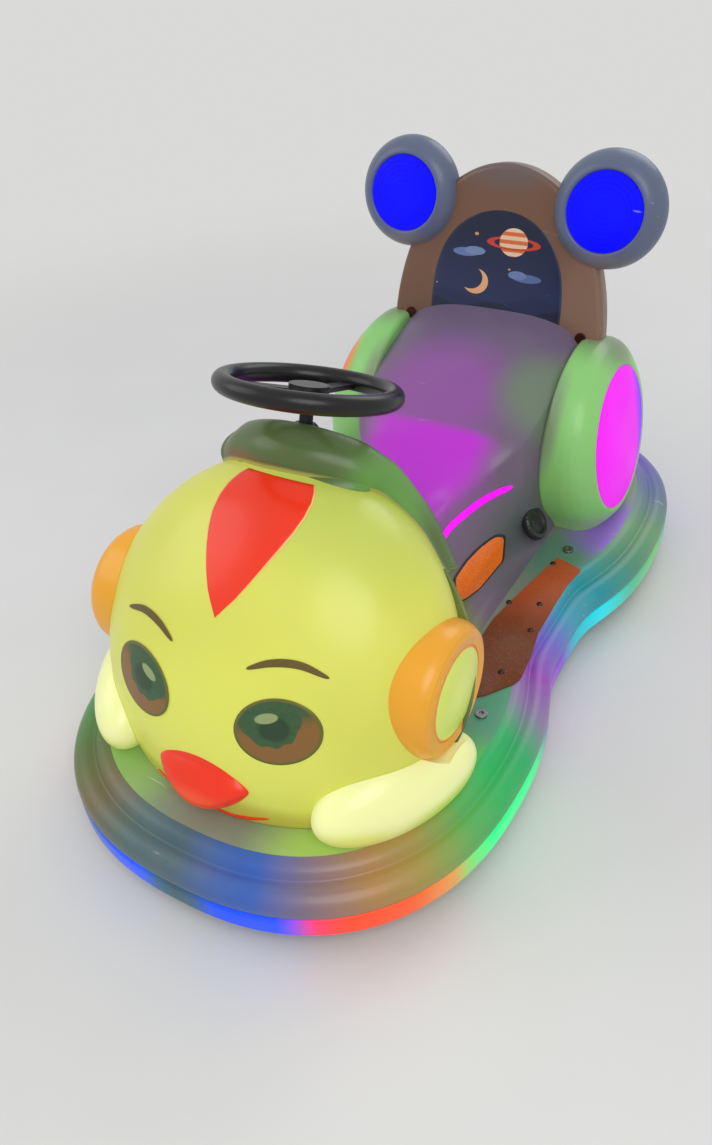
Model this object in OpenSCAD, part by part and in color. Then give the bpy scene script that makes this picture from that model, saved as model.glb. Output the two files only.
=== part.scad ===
// Battery bumper car for children: a chick-faced ride-on with a lit bumper, seen from the front at -Y.
// Millimetres, +Z up, origin on the ground under the middle of the bumper's length and width.
// Stations run from the nose of the bumper towards the tail, and at() turns one into a Y.

/* [Base] */
// Length of the bumper from nose to tail
length = 1600; // [1500:10:1750]
// Width of the front and rear bulges of the bumper
width = 830; // [800:5:900]
// Width of the bumper at its waist, beside the footwells
waist_w = 716; // [690:2:750]
// Station of the widest place of the front bulge
front_bulge = 426; // [400:2:460]
// Station of the widest place of the rear bulge
rear_bulge = 1170; // [1140:2:1200]
// Roundness of the bulges, 2 for an ellipse and more for a squarer one
bulge_power = 2.36; // [2.1:0.02:2.8]
// Height of the bumper's lower edge above the ground
skirt_z = 45; // [35:1:55]
// Height of the deck above the ground
deck_z = 150; // [142:1:165]
// Wall of the deck
deck_wall = 6; // [4:0.5:9]
// Width of the hollow bumper ring
ring_w = 40; // [32:1:48]
// Height of the lit band at the foot of the bumper
band_h = 42; // [34:1:46]
// Depth of the lit band into the bumper
band_d = 12; // [9:1:16]

/* [Head] */
// Station of the head's centre
head_at = 348; // [340:1:356]
// Height of the head's centre
head_z = 312; // [304:1:320]
// Half the head's width
head_rx = 323; // [314:1:328]
// Half the head's depth, across the face
head_ry = 199; // [190:1:206]
// Half the head's height, along the face
head_rz = 324; // [316:1:330]
// Lean of the face, its top to the back
head_tilt = 28.8; // [26:0.2:31]
// Wall of the head
head_wall = 8; // [5:0.5:12]
// Thickness of the printed film on the head
film_t = 0.8; // [0.5:0.1:1.5]
// Height of the middle of the eyes up the face, from the head's centre
eye_up = -57; // [-64:1:-50]
// Distance of each eye from the middle
eye_x = 126; // [118:1:134]
// Radius of the ear muffs
muff_r = 111; // [100:1:118]
// Radius of the lit disc in each muff
muff_disc_r = 78; // [70:1:84]
// Distance of the muff's face from the middle
muff_face = 330; // [326:1:338]

/* [Cowl and steering] */
// Thickness of the cowl over the back of the head
cowl_t = 12; // [8:1:16]
// Half the width of the cowl behind the ears' muffs
cowl_rx = 348; // [340:1:352]
// Half the width of the hood in front of the column
hood_rx = 162; // [154:1:170]
// Half the depth of the hood
hood_ry = 76; // [70:1:82]
// Height of the hood's top
hood_z = 628; // [622:1:636]
// Radius of the steering wheel to its outside
wheel_r = 150; // [135:1:165]
// Radius of the steering wheel's grip
grip_r = 16; // [12:1:18]
// Station of the steering wheel's centre
steer_at = 522; // [515:1:530]
// Height of the steering wheel's centre
steer_z = 710; // [695:1:730]
// Rake of the steering column from upright
rake = 20.2; // [17:0.2:23]
// Radius of the steering shaft
shaft_r = 11; // [9:0.5:13]

/* [Seat] */
// Distance of the fender's inner face from the middle
fender_in = 216; // [214:1:222]
// Distance of the fender's outer face from the middle
fender_out = 312; // [306:1:320]
// Radius of the fender drum
fender_r = 202; // [194:1:210]
// Radius of the lens in the fender
lens_r = 153; // [146:1:158]
// Station of the fender's centre
fender_at = 1208; // [1196:1:1216]
// Thickness of the floor mats
mat_t = 4; // [3:0.5:6]

/* [Backrest] */
// Station of the backrest's front face at its foot
back_at = 1212; // [1205:1:1220]
// Height of the backrest's foot
back_z = 480; // [470:1:490]
// Height of the backrest along its face
back_h = 372; // [360:1:384]
// Width of the backrest at its foot
back_w = 480; // [460:2:490]
// Thickness of the backrest
back_t = 46; // [36:1:56]
// Lean of the backrest
back_lean = 11; // [8:0.5:14]
// Distance of each ear from the middle
ear_x = 216; // [205:1:226]
// Height of the ears' centres
ear_z = 779; // [765:1:790]
// Radius of the ears
ear_r = 112; // [104:1:120]
// Radius of the lens in each ear
ear_lens_r = 74; // [66:1:80]

/* [Running gear] */
// Diameter of the driven front wheel
front_d = 180; // [170:1:190]
// Width of the front tyre
front_w = 48; // [40:1:54]
// Diameter of the rear wheels
rear_d = 130; // [120:1:134]
// Width of the rear tyres
rear_w = 38; // [32:1:44]
// Distance between the middles of the rear wheels
rear_track = 560; // [540:5:580]
// Station of the rear axle
rear_at = 1180; // [1150:5:1200]
// Side of the frame's square tube
tube = 30; // [25:1:32]
// Wall of the frame's tube
tube_wall = 2.5; // [2:0.1:3.5]
// Distance between the middles of the frame's side rails
rail_gap = 340; // [320:2:360]

/* [Hidden] */
$fn = 64;

// Gap left between two pieces that rest against each other
seat_gap = 0.3;
// Running clearance of a pin or shaft in its bore
run_gap = 0.06;
// Clearance of the shaft where it passes through a wall
pass_gap = 7;
// Steps along one side of the bumper's outline
outline_steps = 36;
// Sharpness with which the bulges run into the waist
waist_power = 24;
// Overshoot of a cutting shape past the surface it cuts
over = 1;
// Reach of a cutting block that has to clear everything
far = 2000;

function at(s) = s - length / 2;
// Left and right sides; +X is the rider's left
SIDES = [1, -1];

// Bumper outline: two superellipse bulges and the waist, joined by a high power mean
function bulge(y, mid, reach, half) =
    let (t = min(1, abs(y - mid) / reach)) half * pow(1 - pow(t, bulge_power), 1 / bulge_power);
// The waist has an inset of its own, m
function half_width(y, d, m) =
    let (nose = at(0) + d, tail = at(length) - d,
         front = bulge(y, at(front_bulge), at(front_bulge) - nose, width / 2 - d),
         rear = bulge(y, at(rear_bulge), tail - at(rear_bulge), width / 2 - d),
         mid = (y > at(front_bulge) && y < at(rear_bulge)) ? waist_w / 2 - m : 0)
    pow(pow(front, waist_power) + pow(rear, waist_power) + pow(mid, waist_power), 1 / waist_power);
function station(i, d) = at(0) + d + (length - 2 * d) * (1 - cos(180 * i / outline_steps)) / 2;
// One closed ring of the outline, inset by d, at height z: nose, left side, tail, right side
function ring(z, d, m) = concat(
    [[0, at(0) + d, z]],
    [for (i = [1:outline_steps - 1]) [half_width(station(i, d), d, m), station(i, d), z]],
    [[0, at(length) - d, z]],
    [for (i = [outline_steps - 1:-1:1]) [-half_width(station(i, d), d, m), station(i, d), z]]);

// Faces of a loft through rings of n points each, with the first and last ring capped in strips
function strip_cap(n, base, up) = [for (i = [0:n / 2 - 1])
    let (a = base + i, b = base + i + 1, c = base + (n - i - 1) % n, d = base + (n - i) % n)
    each (i == 0 ? [up ? [a, b, c] : [c, b, a]]
        : i == n / 2 - 1 ? [up ? [a, b, d] : [d, b, a]]
        : [up ? [a, b, c] : [c, b, a], up ? [a, c, d] : [d, c, a]])];
function loft_faces(n, rings) = concat(
    [for (r = [0:rings - 2], i = [0:n - 1])
        let (a = r * n + i, b = r * n + (i + 1) % n) each [[a, a + n, b + n], [a, b + n, b]]],
    strip_cap(n, 0, false),
    strip_cap(n, (rings - 1) * n, true));
function ring_faces(n, rings) =
    [for (r = [0:rings - 1], i = [0:n - 1])
        let (a = r * n + i, b = r * n + (i + 1) % n, c = (a + n) % (n * rings), d = (b + n) % (n * rings))
        each [[a, c, d], [a, d, b]]];

function rings(profile) = [for (p = profile) each ring(p[0], p[1], len(p) > 2 ? p[2] : p[1])];
// Lofts [height, inset, inset at the waist] rings of the outline from the underside round to the deck
module outline_loft(profile) {
    n = 2 * outline_steps;
    polyhedron(rings(profile), loft_faces(n, len(profile)), convexity = 8);
}
// Lofts the same rings as a closed loop, which leaves the middle open
module outline_loop(profile) {
    n = 2 * outline_steps;
    polyhedron(rings(profile), ring_faces(n, len(profile)), convexity = 8);
}

// Head frame: origin at the head's centre, local Y square to the face and pointing back
module head_place() { translate([0, at(head_at), head_z]) rotate([-head_tilt, 0, 0]) children(); }
// Ellipsoid of the head, grown by g
module head_form(g = 0, facets = 180) {
    head_place() scale([(head_rx + g) / 100, (head_ry + g) / 100, (head_rz + g) / 100])
        rotate([0, 90, 0]) sphere(r = 100, $fn = facets);
}
// Facets round the large shells of the head and the cowl
shell_facets = 72;
// The head's ellipsoid for its own shell, with the sphere's poles up and down the face
module head_ball(g) {
    head_place() scale([(head_rx + g) / 100, (head_ry + g) / 100, (head_rz + g) / 100])
        sphere(r = 100, $fn = shell_facets);
}
module above(z) { translate([-far / 2, -far / 2, z]) cube(far); }
module on_both_sides() { children(); mirror([1, 0, 0]) children(); }

// Column frame: origin at the steering wheel's centre, local Z along the column
module column() { translate([0, at(steer_at), steer_z]) rotate([-rake, 0, 0]) children(); }

// Backrest frame: origin at the foot of the front face, local Z up the face, local Y to the back
module backrest_place() { translate([0, at(back_at), back_z]) rotate([-back_lean, 0, 0]) children(); }

// Height of the bumper's upper tier and of the crease between it and the deck
tier_z = deck_z - 19;
crease_inset = 40;
waist_crease = 36;
rebate = band_d + seat_gap;
band_top = skirt_z + band_h;
ceiling_z = deck_z - deck_wall;
// Opening in the deck under the head, for the fork and the column
well_x = rail_gap + 40;
well_y = 226;
fork_at = 360;

module base_shell() {
    color([0.62, 0.70, 0.66]) difference() {
        outline_loft([
            [ceiling_z, ring_w + 24],
            [ceiling_z - 8, ring_w + 6],
            [ceiling_z - 22, ring_w],
            [skirt_z, ring_w],
            [skirt_z, rebate],
            [band_top + seat_gap, rebate],
            [band_top + seat_gap, 4],
            [band_top + 7, 1],
            [band_top + 16, 0],
            [tier_z - 15, 3],
            [tier_z - 8, 9],
            [tier_z - 2, 18],
            [tier_z, 28],
            [tier_z - 2, crease_inset, waist_crease],
            [tier_z + 3, crease_inset + 3, waist_crease + 1],
            [deck_z - 8, crease_inset + 8, waist_crease + 3],
            [deck_z - 3, crease_inset + 16, waist_crease + 5],
            [deck_z, crease_inset + 30, waist_crease + 9]
        ]);
        translate([-well_x / 2, at(fork_at) - well_y / 2, ceiling_z - over])
            cube([well_x, well_y, deck_wall + 2 * over]);
        for (p = DECK_BOLTS) translate([p[0], at(p[1]), ceiling_z - over])
            cylinder(r = bolt_r + seat_gap, h = deck_wall + 2 * over);
    }
}

module bumper_light_band() {
    color([0.30, 0.55, 0.95]) outline_loop([
        [skirt_z + 2, band_d],
        [skirt_z + 2, 4],
        [skirt_z + 6, 0],
        [band_top - 4, 0],
        [band_top, 4],
        [band_top, band_d]
    ]);
}

// Deck bolts: [x, station]
bolt_r = 4;
bolt_head_r = 11;
bolt_head_h = 5;
DECK_BOLTS = [for (s = SIDES) each [[s * 272, 1016], [s * 306, 500]]];
module deck_bolts() {
    color([0.45, 0.45, 0.45]) for (p = DECK_BOLTS) translate([p[0], at(p[1]), deck_z]) {
        translate([0, 0, -deck_wall - 10]) cylinder(r = bolt_r, h = deck_wall + 10);
        difference() {
            cylinder(r = bolt_head_r, h = bolt_head_h);
            translate([0, 0, bolt_head_h - 3]) cylinder(r = 4.5, h = 3 + over, $fn = 6);
        }
    }
}

// Mats: a sheet on each footwell floor. Each corner is [x from the mat's inner edge or, where the third value
// is 1, from the waist's deck edge, station]
mat_in = 222;
mat_out = waist_w / 2 - waist_crease - 9;
MAT = [[0, 520, 0], [28, 512, 0], [70, 542, 0], [14, 592, 1], [20, 612, 1], [14, 680, 1], [2, 740, 1],
    [0, 900, 1], [8, 960, 1], [40, 978, 0], [26, 900, 0], [15, 839, 0], [0, 740, 0]];
module floor_mats() {
    color([0.62, 0.30, 0.17]) on_both_sides() translate([0, 0, deck_z]) linear_extrude(mat_t)
        polygon([for (m = MAT) [m[0] + (m[2] == 1 ? mat_out : mat_in), at(m[1])]]);
}

module head_shell() {
    color([0.86, 0.88, 0.42]) difference() {
        intersection() {
            head_ball(0);
            above(deck_z);
        }
        intersection() {
            head_ball(-head_wall);
            translate([0, 0, -over]) above(deck_z);
        }
        column() translate([0, 0, -far / 4]) cylinder(r = shaft_r + pass_gap, h = far / 4);
    }
}

// Cuts along the face's own direction to the outline its children give as [x, height up the face]
module face_cut() { head_place() rotate([90, 0, 0]) linear_extrude(far / 4) children(); }
// A film of the head's own curve, cut to its children's outline
module film(t = film_t) {
    intersection() {
        difference() { head_form(seat_gap + t); head_form(seat_gap); }
        face_cut() children();
    }
}
// Half outlines as [x, height up the face from the head's centre], from the middle outwards or round
CREST = [[0, 82], [26, 117], [42, 146], [56, 175], [67, 200], [76, 225], [80, 250], [78, 270],
    [71, 285], [62, 294]];
BROW = [[68, 27], [80, 37], [97, 45], [122, 51], [147, 51], [170, 48], [189, 41],
    [170, 39], [149, 38], [124, 37], [102, 31], [84, 24]];
BILL = [[0, -242], [18, -240], [38, -232], [60, -219], [80, -203], [95, -186],
    [72, -171], [48, -160], [24, -153], [0, -151]];
SMILE = [[0, -250], [50, -250], [79, -243], [112, -229], [109, -225], [77, -238], [50, -245], [0, -245]];
function mirrored(half) = [for (i = [len(half) - 1:-1:0]) if (half[i][0] > 0) [-half[i][0], half[i][1]]];
module crest_film() {
    color([0.92, 0.18, 0.05]) film() polygon(concat(CREST, mirrored(CREST)));
}
eye_half = 64;
eye_flat = 0.8;
module eye_films() {
    color([0.20, 0.33, 0.20]) on_both_sides() film()
        translate([eye_x, eye_up]) scale([1, eye_flat]) circle(r = eye_half);
}
module brow_films() {
    color([0.45, 0.42, 0.15]) on_both_sides() film() polygon(BROW);
}

// Beak: a leaf-shaped bill that juts further out towards its lower edge, and the line of the smile under it
bill_up = -195;
bill_in = -118;
bill_scale = [1.35, 0.66, 0.82];
module beak() {
    color([0.92, 0.18, 0.05]) {
        difference() {
            intersection() {
                head_place() translate([0, bill_in, bill_up]) scale(bill_scale) sphere(r = 100, $fn = 120);
                face_cut() polygon(concat(BILL, mirrored(BILL)));
            }
            head_form(seat_gap);
        }
        intersection() {
            film(2.2) polygon(concat(SMILE, mirrored(SMILE)));
            above(deck_z + seat_gap);
        }
    }
}

// Cheek lamps: egg-shaped lamps lying on the deck under the cheeks
module cheek_form(side, g = 0) {
    translate([side * 268, at(262), deck_z + 44]) rotate([0, 0, side * -28])
        scale([0.66 + g / 100, 1.5 + g / 100, 0.78 + g / 100]) sphere(r = 100);
}
module cheek_lamp(side) {
    color([0.97, 0.98, 0.75]) difference() {
        intersection() {
            cheek_form(side);
            above(deck_z);
        }
        head_form(seat_gap);
        muff_place(side) cylinder(r = muff_r + seat_gap, h = muff_depth + 10);
    }
}
module cheek_lamp_left() { cheek_lamp(1); }
module cheek_lamp_right() { cheek_lamp(-1); }

// Muffs: turned about X through the head's side
muff_at = 360;
muff_z = 337;
muff_depth = 74;
module muff_place(side) {
    translate([side * (muff_face - muff_depth), at(muff_at), muff_z]) rotate([0, side * 90, 0]) children();
}
module muff_ring(side) {
    color([0.93, 0.60, 0.14]) difference() {
        muff_place(side) rotate_extrude() polygon([
            [muff_disc_r + seat_gap, 0], [muff_r, 0], [muff_r, muff_depth - 24], [muff_r - 3, muff_depth - 13],
            [muff_r - 9, muff_depth - 4], [muff_r - 18, muff_depth], [muff_disc_r + seat_gap, muff_depth - 2]]);
        head_form(seat_gap);
    }
}
module muff_ring_left() { muff_ring(1); }
module muff_ring_right() { muff_ring(-1); }
module muff_discs() {
    color([0.84, 0.92, 0.42]) for (side = SIDES) difference() {
        muff_place(side) rotate_extrude() polygon([[0, 0], [muff_disc_r, 0], [muff_disc_r, muff_depth - 3],
            [muff_disc_r - 10, muff_depth + 1], [muff_disc_r * 0.5, muff_depth + 4], [0, muff_depth + 5]]);
        head_form(seat_gap);
    }
}

// Cowl: a skin over the back of the head with a spine up to the hood, a pillow in front of the column
cowl_front = 52;
cowl_ry = head_ry + cowl_t + 6;
cowl_rz = head_rz - 24;
spine_half = 90;
spine_at = 470;
// Gap between the head and the inside of the cowl, wide enough for the films
film_gap = film_t + 4 * seat_gap;
module cowl_ball(g = 0, facets = 180) {
    head_place() scale([(cowl_rx + g) / 100, (cowl_ry + g) / 100, (cowl_rz + g) / 100])
        rotate([0, 90, 0]) sphere(r = 100, $fn = facets);
}
module cowl_spine(g = 0, facets = 180) {
    intersection() {
        head_form(cowl_t + g, facets);
        translate([-spine_half - g, at(spine_at), deck_z - over])
            cube([2 * (spine_half + g), far / 4, far / 4]);
    }
}
hood_at = 478;
hood_rz = 40;
module hood_form(g = 0, facets = 120) {
    translate([0, at(hood_at), hood_z - hood_rz])
        scale([(hood_rx + g) / 100, (hood_ry + g) / 100, (hood_rz + g) / 100]) sphere(r = 100, $fn = facets);
}
module dash_cowl() {
    color([0.42, 0.55, 0.36]) difference() {
        union() {
            intersection() {
                cowl_ball(0, shell_facets);
                head_place() translate([-far / 2, cowl_front, -far / 2]) cube(far);
            }
            cowl_spine(0, shell_facets);
            hood_form(0, shell_facets);
        }
        head_form(film_gap, shell_facets);
        translate([0, 0, -far]) above(deck_z);
        for (side = SIDES) {
            cheek_form(side, 2 * seat_gap);
            muff_place(side) cylinder(r = muff_r + seat_gap, h = muff_depth + 30);
        }
        column() translate([0, 0, -far / 4]) cylinder(r = shaft_r + pass_gap, h = far / 4);
    }
}

// Flange that holds the column's bearing on the hood
flange_r = 38;
flange_drop = 72;
flange_h = 18;
module column_flange() {
    color([0.08, 0.08, 0.08]) difference() {
        column() {
            translate([0, 0, -flange_drop - 36]) cylinder(r = flange_r, h = 36);
            translate([0, 0, -flange_drop]) cylinder(r1 = flange_r - 3, r2 = shaft_r + 6, h = flange_h);
        }
        hood_form(seat_gap);
        column() translate([0, 0, -flange_drop - 40]) cylinder(r = shaft_r + run_gap, h = 80);
    }
}

// Seat and tunnel: sections as [station, crown z, shoulder z, shoulder half, flank z, flank half, foot half]
SEAT = [
    [430, 388, 360, 118, 215, 164, 213],
    [850, 392, 364, 128, 215, 168, 215],
    [895, 408, 380, 150, 225, 174, 217],
    [940, 438, 405, 178, 240, 184, 218],
    [1010, 478, 440, 192, 260, 202, 218],
    [1110, 524, 480, 198, 270, 214, 218],
    [1200, 556, 508, 198, 270, 215, 218],
    [1262, 566, 512, 196, 270, 215, 218],
    [1330, 520, 470, 190, 260, 212, 217],
    [1395, 420, 370, 180, 240, 205, 215],
    [1445, 300, 262, 165, 210, 190, 208],
    [1478, 190, 178, 140, 168, 165, 185]
];
// Points of one section from the left foot over the crown to the right foot
shoulder_steps = 5;
function seat_half(r) = let (most = fender_in - 2, x = min(r[3], most), w = min(r[5], most), f = min(r[6], most))
    concat(
        [[f, deck_z], [f - 6, deck_z + 10]],
        [[w, r[4]], [(w + x) / 2 + flank_bulge, (r[4] + r[2]) / 2]],
        [for (i = [0:shoulder_steps - 1]) let (a = 90 * i / shoulder_steps)
            [x * pow(cos(a), 0.62), r[2] + (r[1] - r[2]) * pow(sin(a), 1.25)]]);
function seat_section(r) = let (h = seat_half(r)) concat(
    [for (p = h) [p[0], at(r[0]), p[1]]],
    [[0, at(r[0]), r[1]]],
    [for (i = [len(h) - 1:-1:0]) [-h[i][0], at(r[0]), h[i][1]]]);
module seat_form() {
    n = 2 * (4 + shoulder_steps) + 1;
    m = len(SEAT);
    last = (m - 1) * n;
    polyhedron([for (r = SEAT) each seat_section(r)], concat(
        [for (k = [0:m - 2], i = [0:n - 1])
            let (a = k * n + i, b = k * n + (i + 1) % n) each [[a, b + n, a + n], [a, b, b + n]]],
        [for (i = [0:(n - 1) / 2 - 1]) let (a = i, b = i + 1, c = n - 2 - i, d = n - 1 - i)
            each (b == c ? [[a, d, b]] : [[a, d, b], [b, d, c]])],
        [for (i = [0:(n - 1) / 2 - 1])
            let (a = last + i, b = last + i + 1, c = last + n - 2 - i, d = last + n - 1 - i)
            each (b == c ? [[b, d, a]] : [[b, d, a], [c, d, b]])]), convexity = 8);
}
module seat_body() {
    color([0.50, 0.45, 0.52]) difference() {
        seat_form();
        cowl_ball(seat_gap);
        cowl_spine(seat_gap);
        backrest_place() translate([-far / 2, -seat_gap, 0]) cube([far, back_t + 2 * seat_gap, far / 2]);
        for (side = SIDES) cap_place(side) translate([0, 0, -cap_seat]) cylinder(r = cap_r + seat_gap, h = 60);
    }
}

// Side caps: round knobs on the seat's lower flanks
cap_r = 37;
cap_seat = 8;
cap_h = 9;
module cap_place(side) {
    translate([side * 206, at(985), 222]) rotate([0, side * 58, 0]) children();
}
module side_caps() {
    color([0.12, 0.12, 0.14]) for (side = SIDES) cap_place(side) translate([0, 0, -cap_seat + seat_gap])
        cylinder(r = cap_r, h = cap_seat + cap_h);
}

// Half width of a section at height z, from its flank over the bulge between flank and shoulder
flank_bulge = 2;
function flank_row(r, z) =
    let (mid_z = (r[4] + r[2]) / 2, mid_x = (r[5] + r[3]) / 2 + flank_bulge)
    z < mid_z ? r[5] + (mid_x - r[5]) * (z - r[4]) / (mid_z - r[4])
        : mid_x + (r[3] - mid_x) * (z - mid_z) / (r[2] - mid_z);
// Half width of the tunnel's flank at a station between the first two sections
function flank(s, z) = let (f = (s - SEAT[0][0]) / (SEAT[1][0] - SEAT[0][0]))
    flank_row(SEAT[0], z) * (1 - f) + flank_row(SEAT[1], z) * f;
// A plate that lies on the tunnel's flank, from corners [station, z], with its face t proud
module flank_plate(corners, t) {
    n = len(corners);
    lift = 0.9;
    points = concat(
        [for (c = corners) [flank(c[0], c[1]) + lift, at(c[0]), c[1]]],
        [for (c = corners) [flank(c[0], c[1]) + lift + t, at(c[0]), c[1]]]);
    polyhedron(points, concat(
        [[for (i = [0:n - 1]) i]],
        [[for (i = [n - 1:-1:0]) n + i]],
        [for (i = [0:n - 1]) [i, n + i, n + (i + 1) % n, (i + 1) % n]]));
}
module light_streaks() {
    color([0.95, 0.20, 0.95]) on_both_sides()
        flank_plate([[668, 318], [676, 325], [838, 322], [842, 314], [836, 308], [674, 310]], 3);
}
module side_reflectors() {
    color([1.0, 0.50, 0.05]) on_both_sides()
        flank_plate([[668, 228], [668, 268], [676, 276], [836, 262], [846, 254], [846, 226], [834, 218], [676, 222]], 3);
}

// Fenders: drums beside the seat on a flared foot, tapered to the lens in each outer face
fender_z = deck_z + 180;
// Fender outline as [share of its width from the inside, drop below the full radius]
FENDER = [[0, 0], [0.34, 0], [0.52, 4], [0.68, 12], [0.82, 24], [0.92, 36], [0.98, 46]];
// Half of the foot as [distance from the fender's middle, height above the deck]
FOOT = [[116, 0], [98, 40], [88, 90], [84, 150]];
module fender_place(side) {
    translate([side * fender_in, at(fender_at), fender_z]) rotate([0, side * 90, 0]) children();
}
module fender(side) {
    t = fender_out - fender_in;
    color([0.60, 0.85, 0.52]) difference() {
        intersection() {
            union() {
                fender_place(side) rotate_extrude() polygon(concat(
                    [[0, 0]], [for (f = FENDER) [fender_r - f[1], t * f[0]]], [[lens_r + 1, t], [0, t]]));
                translate([side > 0 ? fender_in : -fender_out, at(fender_at), deck_z])
                    rotate([90, 0, 90]) linear_extrude(t) polygon(concat(FOOT, mirrored(FOOT)));
            }
            above(deck_z);
        }
        fender_place(side) translate([0, 0, t - lens_seat])
            cylinder(r = lens_r + seat_gap, h = lens_seat + over);
    }
}
lens_seat = 14;
lens_dome = 12;
module fender_lens(side) {
    t = fender_out - fender_in;
    color([0.95, 0.20, 0.95]) fender_place(side) translate([0, 0, t - lens_seat + seat_gap])
        rotate_extrude() polygon([[0, 0], [lens_r, 0], [lens_r, lens_seat], [lens_r * 0.9, lens_seat + lens_dome * 0.5],
            [lens_r * 0.6, lens_seat + lens_dome * 0.85], [0, lens_seat + lens_dome]]);
}
module fender_left() { fender(1); }
module fender_right() { fender(-1); }
module fender_lens_left() { fender_lens(1); }
module fender_lens_right() { fender_lens(-1); }

// Backrest: an arch whose half width falls with height as a superellipse
arch_steps = 18;
function arch_half(v, w, h) = w * pow(1 - pow(min(1, v / h), 2.2), 0.5);
function arch(w, h) = concat(
    [for (i = [0:arch_steps]) let (v = h * sin(90 * i / arch_steps)) [arch_half(v, w, h), v]],
    [for (i = [arch_steps - 1:-1:0]) let (v = h * sin(90 * i / arch_steps)) [-arch_half(v, w, h), v]]);
module arch_slab(w, h, t) { rotate([90, 0, 0]) mirror([0, 0, 1]) linear_extrude(t) polygon(arch(w, h)); }
module backrest_form() { backrest_place() arch_slab(back_w / 2, back_h, back_t); }
panel_foot = 62;
panel_w = 150;
panel_h = 240;
panel_seat = 4;
module backrest_shell() {
    color([0.55, 0.42, 0.36]) difference() {
        intersection() { backrest_form(); above(back_z + 6); }
        backrest_place() translate([0, -over, panel_foot])
            arch_slab(panel_w + seat_gap, panel_h + seat_gap, panel_seat + over);
        for (side = SIDES) fender_place(side) translate([0, 0, -seat_gap])
            cylinder(r = fender_r + seat_gap, h = fender_out);
        for (side = SIDES) back_bolt_place(side) cylinder(r = bolt_r + seat_gap, h = 60, center = true);
    }
}
module backrest_panel() {
    color([0.10, 0.18, 0.34]) backrest_place() translate([0, 0.5, panel_foot + seat_gap])
        arch_slab(panel_w, panel_h, panel_seat - 0.8);
}
module back_bolt_place(side) { backrest_place() translate([side * 196, 0, 52]) rotate([90, 0, 0]) children(); }
module backrest_bolts() {
    color([0.45, 0.45, 0.45]) for (side = SIDES) back_bolt_place(side) {
        translate([0, 0, -28]) cylinder(r = bolt_r, h = 28);
        cylinder(r = bolt_head_r, h = bolt_head_h);
    }
}

// Ears: turned discs with a lens, facing forward and a little up, cut to straddle the arch
ear_tilt = 10;
ear_t = 78;
ear_at = 1250;
module ear_place(side) {
    translate([side * ear_x, at(ear_at), ear_z]) rotate([90 - ear_tilt, 0, 0]) children();
}
module ear(side) {
    color([0.45, 0.55, 0.70]) difference() {
        ear_place(side) rotate_extrude() polygon([
            [0, -ear_t + 12], [ear_r * 0.6, -ear_t + 15], [ear_r * 0.88, -ear_t + 27], [ear_r, -ear_t + 44],
            [ear_r, -8], [ear_r * 0.97, 2], [ear_r * 0.90, 9], [ear_r * 0.80, 12],
            [ear_lens_r + seat_gap, 8], [ear_lens_r + seat_gap, 0], [0, 0]]);
        backrest_grown();
    }
}
module backrest_grown() {
    backrest_place() translate([0, -seat_gap, -seat_gap])
        arch_slab(back_w / 2 + seat_gap, back_h + 2 * seat_gap, back_t + 2 * seat_gap);
}
module ear_lens(side) {
    color([0.10, 0.10, 0.95]) difference() {
        ear_place(side) translate([0, 0, seat_gap]) rotate_extrude()
            polygon([[0, 0], [ear_lens_r, 0], [ear_lens_r, 8], [ear_lens_r * 0.7, 13], [0, 16]]);
        backrest_grown();
    }
}
module ear_left() { ear(1); }
module ear_right() { ear(-1); }
module ear_lens_left() { ear_lens(1); }
module ear_lens_right() { ear_lens(-1); }

// Foot pedal: a tread plate on a hinge block, on the rider's right
module foot_pedal() {
    color([0.12, 0.12, 0.12]) translate([-270, at(640), deck_z + mat_t]) {
        translate([-30, -14, 0]) cube([60, 22, 14]);
        translate([0, -8, 14]) rotate([24, 0, 0]) translate([-28, -3, -2]) cube([56, 92, 7]);
    }
}

// Frame: two side rails, cross tubes and the bridge that holds the kingpin
frame_z = ceiling_z - seat_gap - tube;
rail_front = 150;
rail_back = 1400;
module box_tube(l) {
    difference() {
        cube([l, tube, tube], center = true);
        cube([l + 2 * over, tube - 2 * tube_wall, tube - 2 * tube_wall], center = true);
    }
}
bridge_z = 212;
bridge_t = 8;
bridge_l = 90;
king_r = 12;
king_boss_r = 24;
king_boss_h = 34;
lug_w = 40;
lug_l = 46;
lug_t = 6;
lug_hole_r = 7;
module chassis_frame() {
    mid = frame_z + tube / 2;
    color([0.20, 0.20, 0.22]) {
        difference() {
            union() {
                for (side = SIDES) {
                    translate([side * rail_gap / 2, at((rail_front + rail_back) / 2), mid])
                        rotate([0, 0, 90]) box_tube(rail_back - rail_front);
                    translate([side * rail_gap / 2 - tube / 2, at(fork_at) - bridge_l / 2,
                               frame_z + tube + seat_gap])
                        cube([tube, bridge_l, bridge_z - frame_z - tube - 2 * seat_gap]);
                }
                translate([-rail_gap / 2 - tube / 2, at(fork_at) - bridge_l / 2, bridge_z])
                    cube([rail_gap + tube, bridge_l, bridge_t]);
                translate([0, at(fork_at), bridge_z]) cylinder(r = king_boss_r, h = king_boss_h);
                for (s = [rail_front + tube / 2, 620, 980, rail_back - tube / 2])
                    translate([0, at(s), mid]) box_tube(rail_gap - tube - 2 * seat_gap);
                for (p = DECK_BOLTS) frame_tab(p);
                translate([-lug_w / 2, at(rail_back) + seat_gap, mid - lug_t / 2])
                    cube([lug_w, lug_l - seat_gap, lug_t]);
            }
            translate([0, at(fork_at), bridge_z - over])
                cylinder(r = king_r + run_gap, h = king_boss_h + 2 * over);
            translate([0, at(rail_back) + lug_l - 20, mid - lug_t]) cylinder(r = lug_hole_r, h = 2 * lug_t);
            for (p = DECK_BOLTS) translate([p[0], at(p[1]), frame_z]) cylinder(r = bolt_r + seat_gap, h = 60);
        }
    }
}
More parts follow.
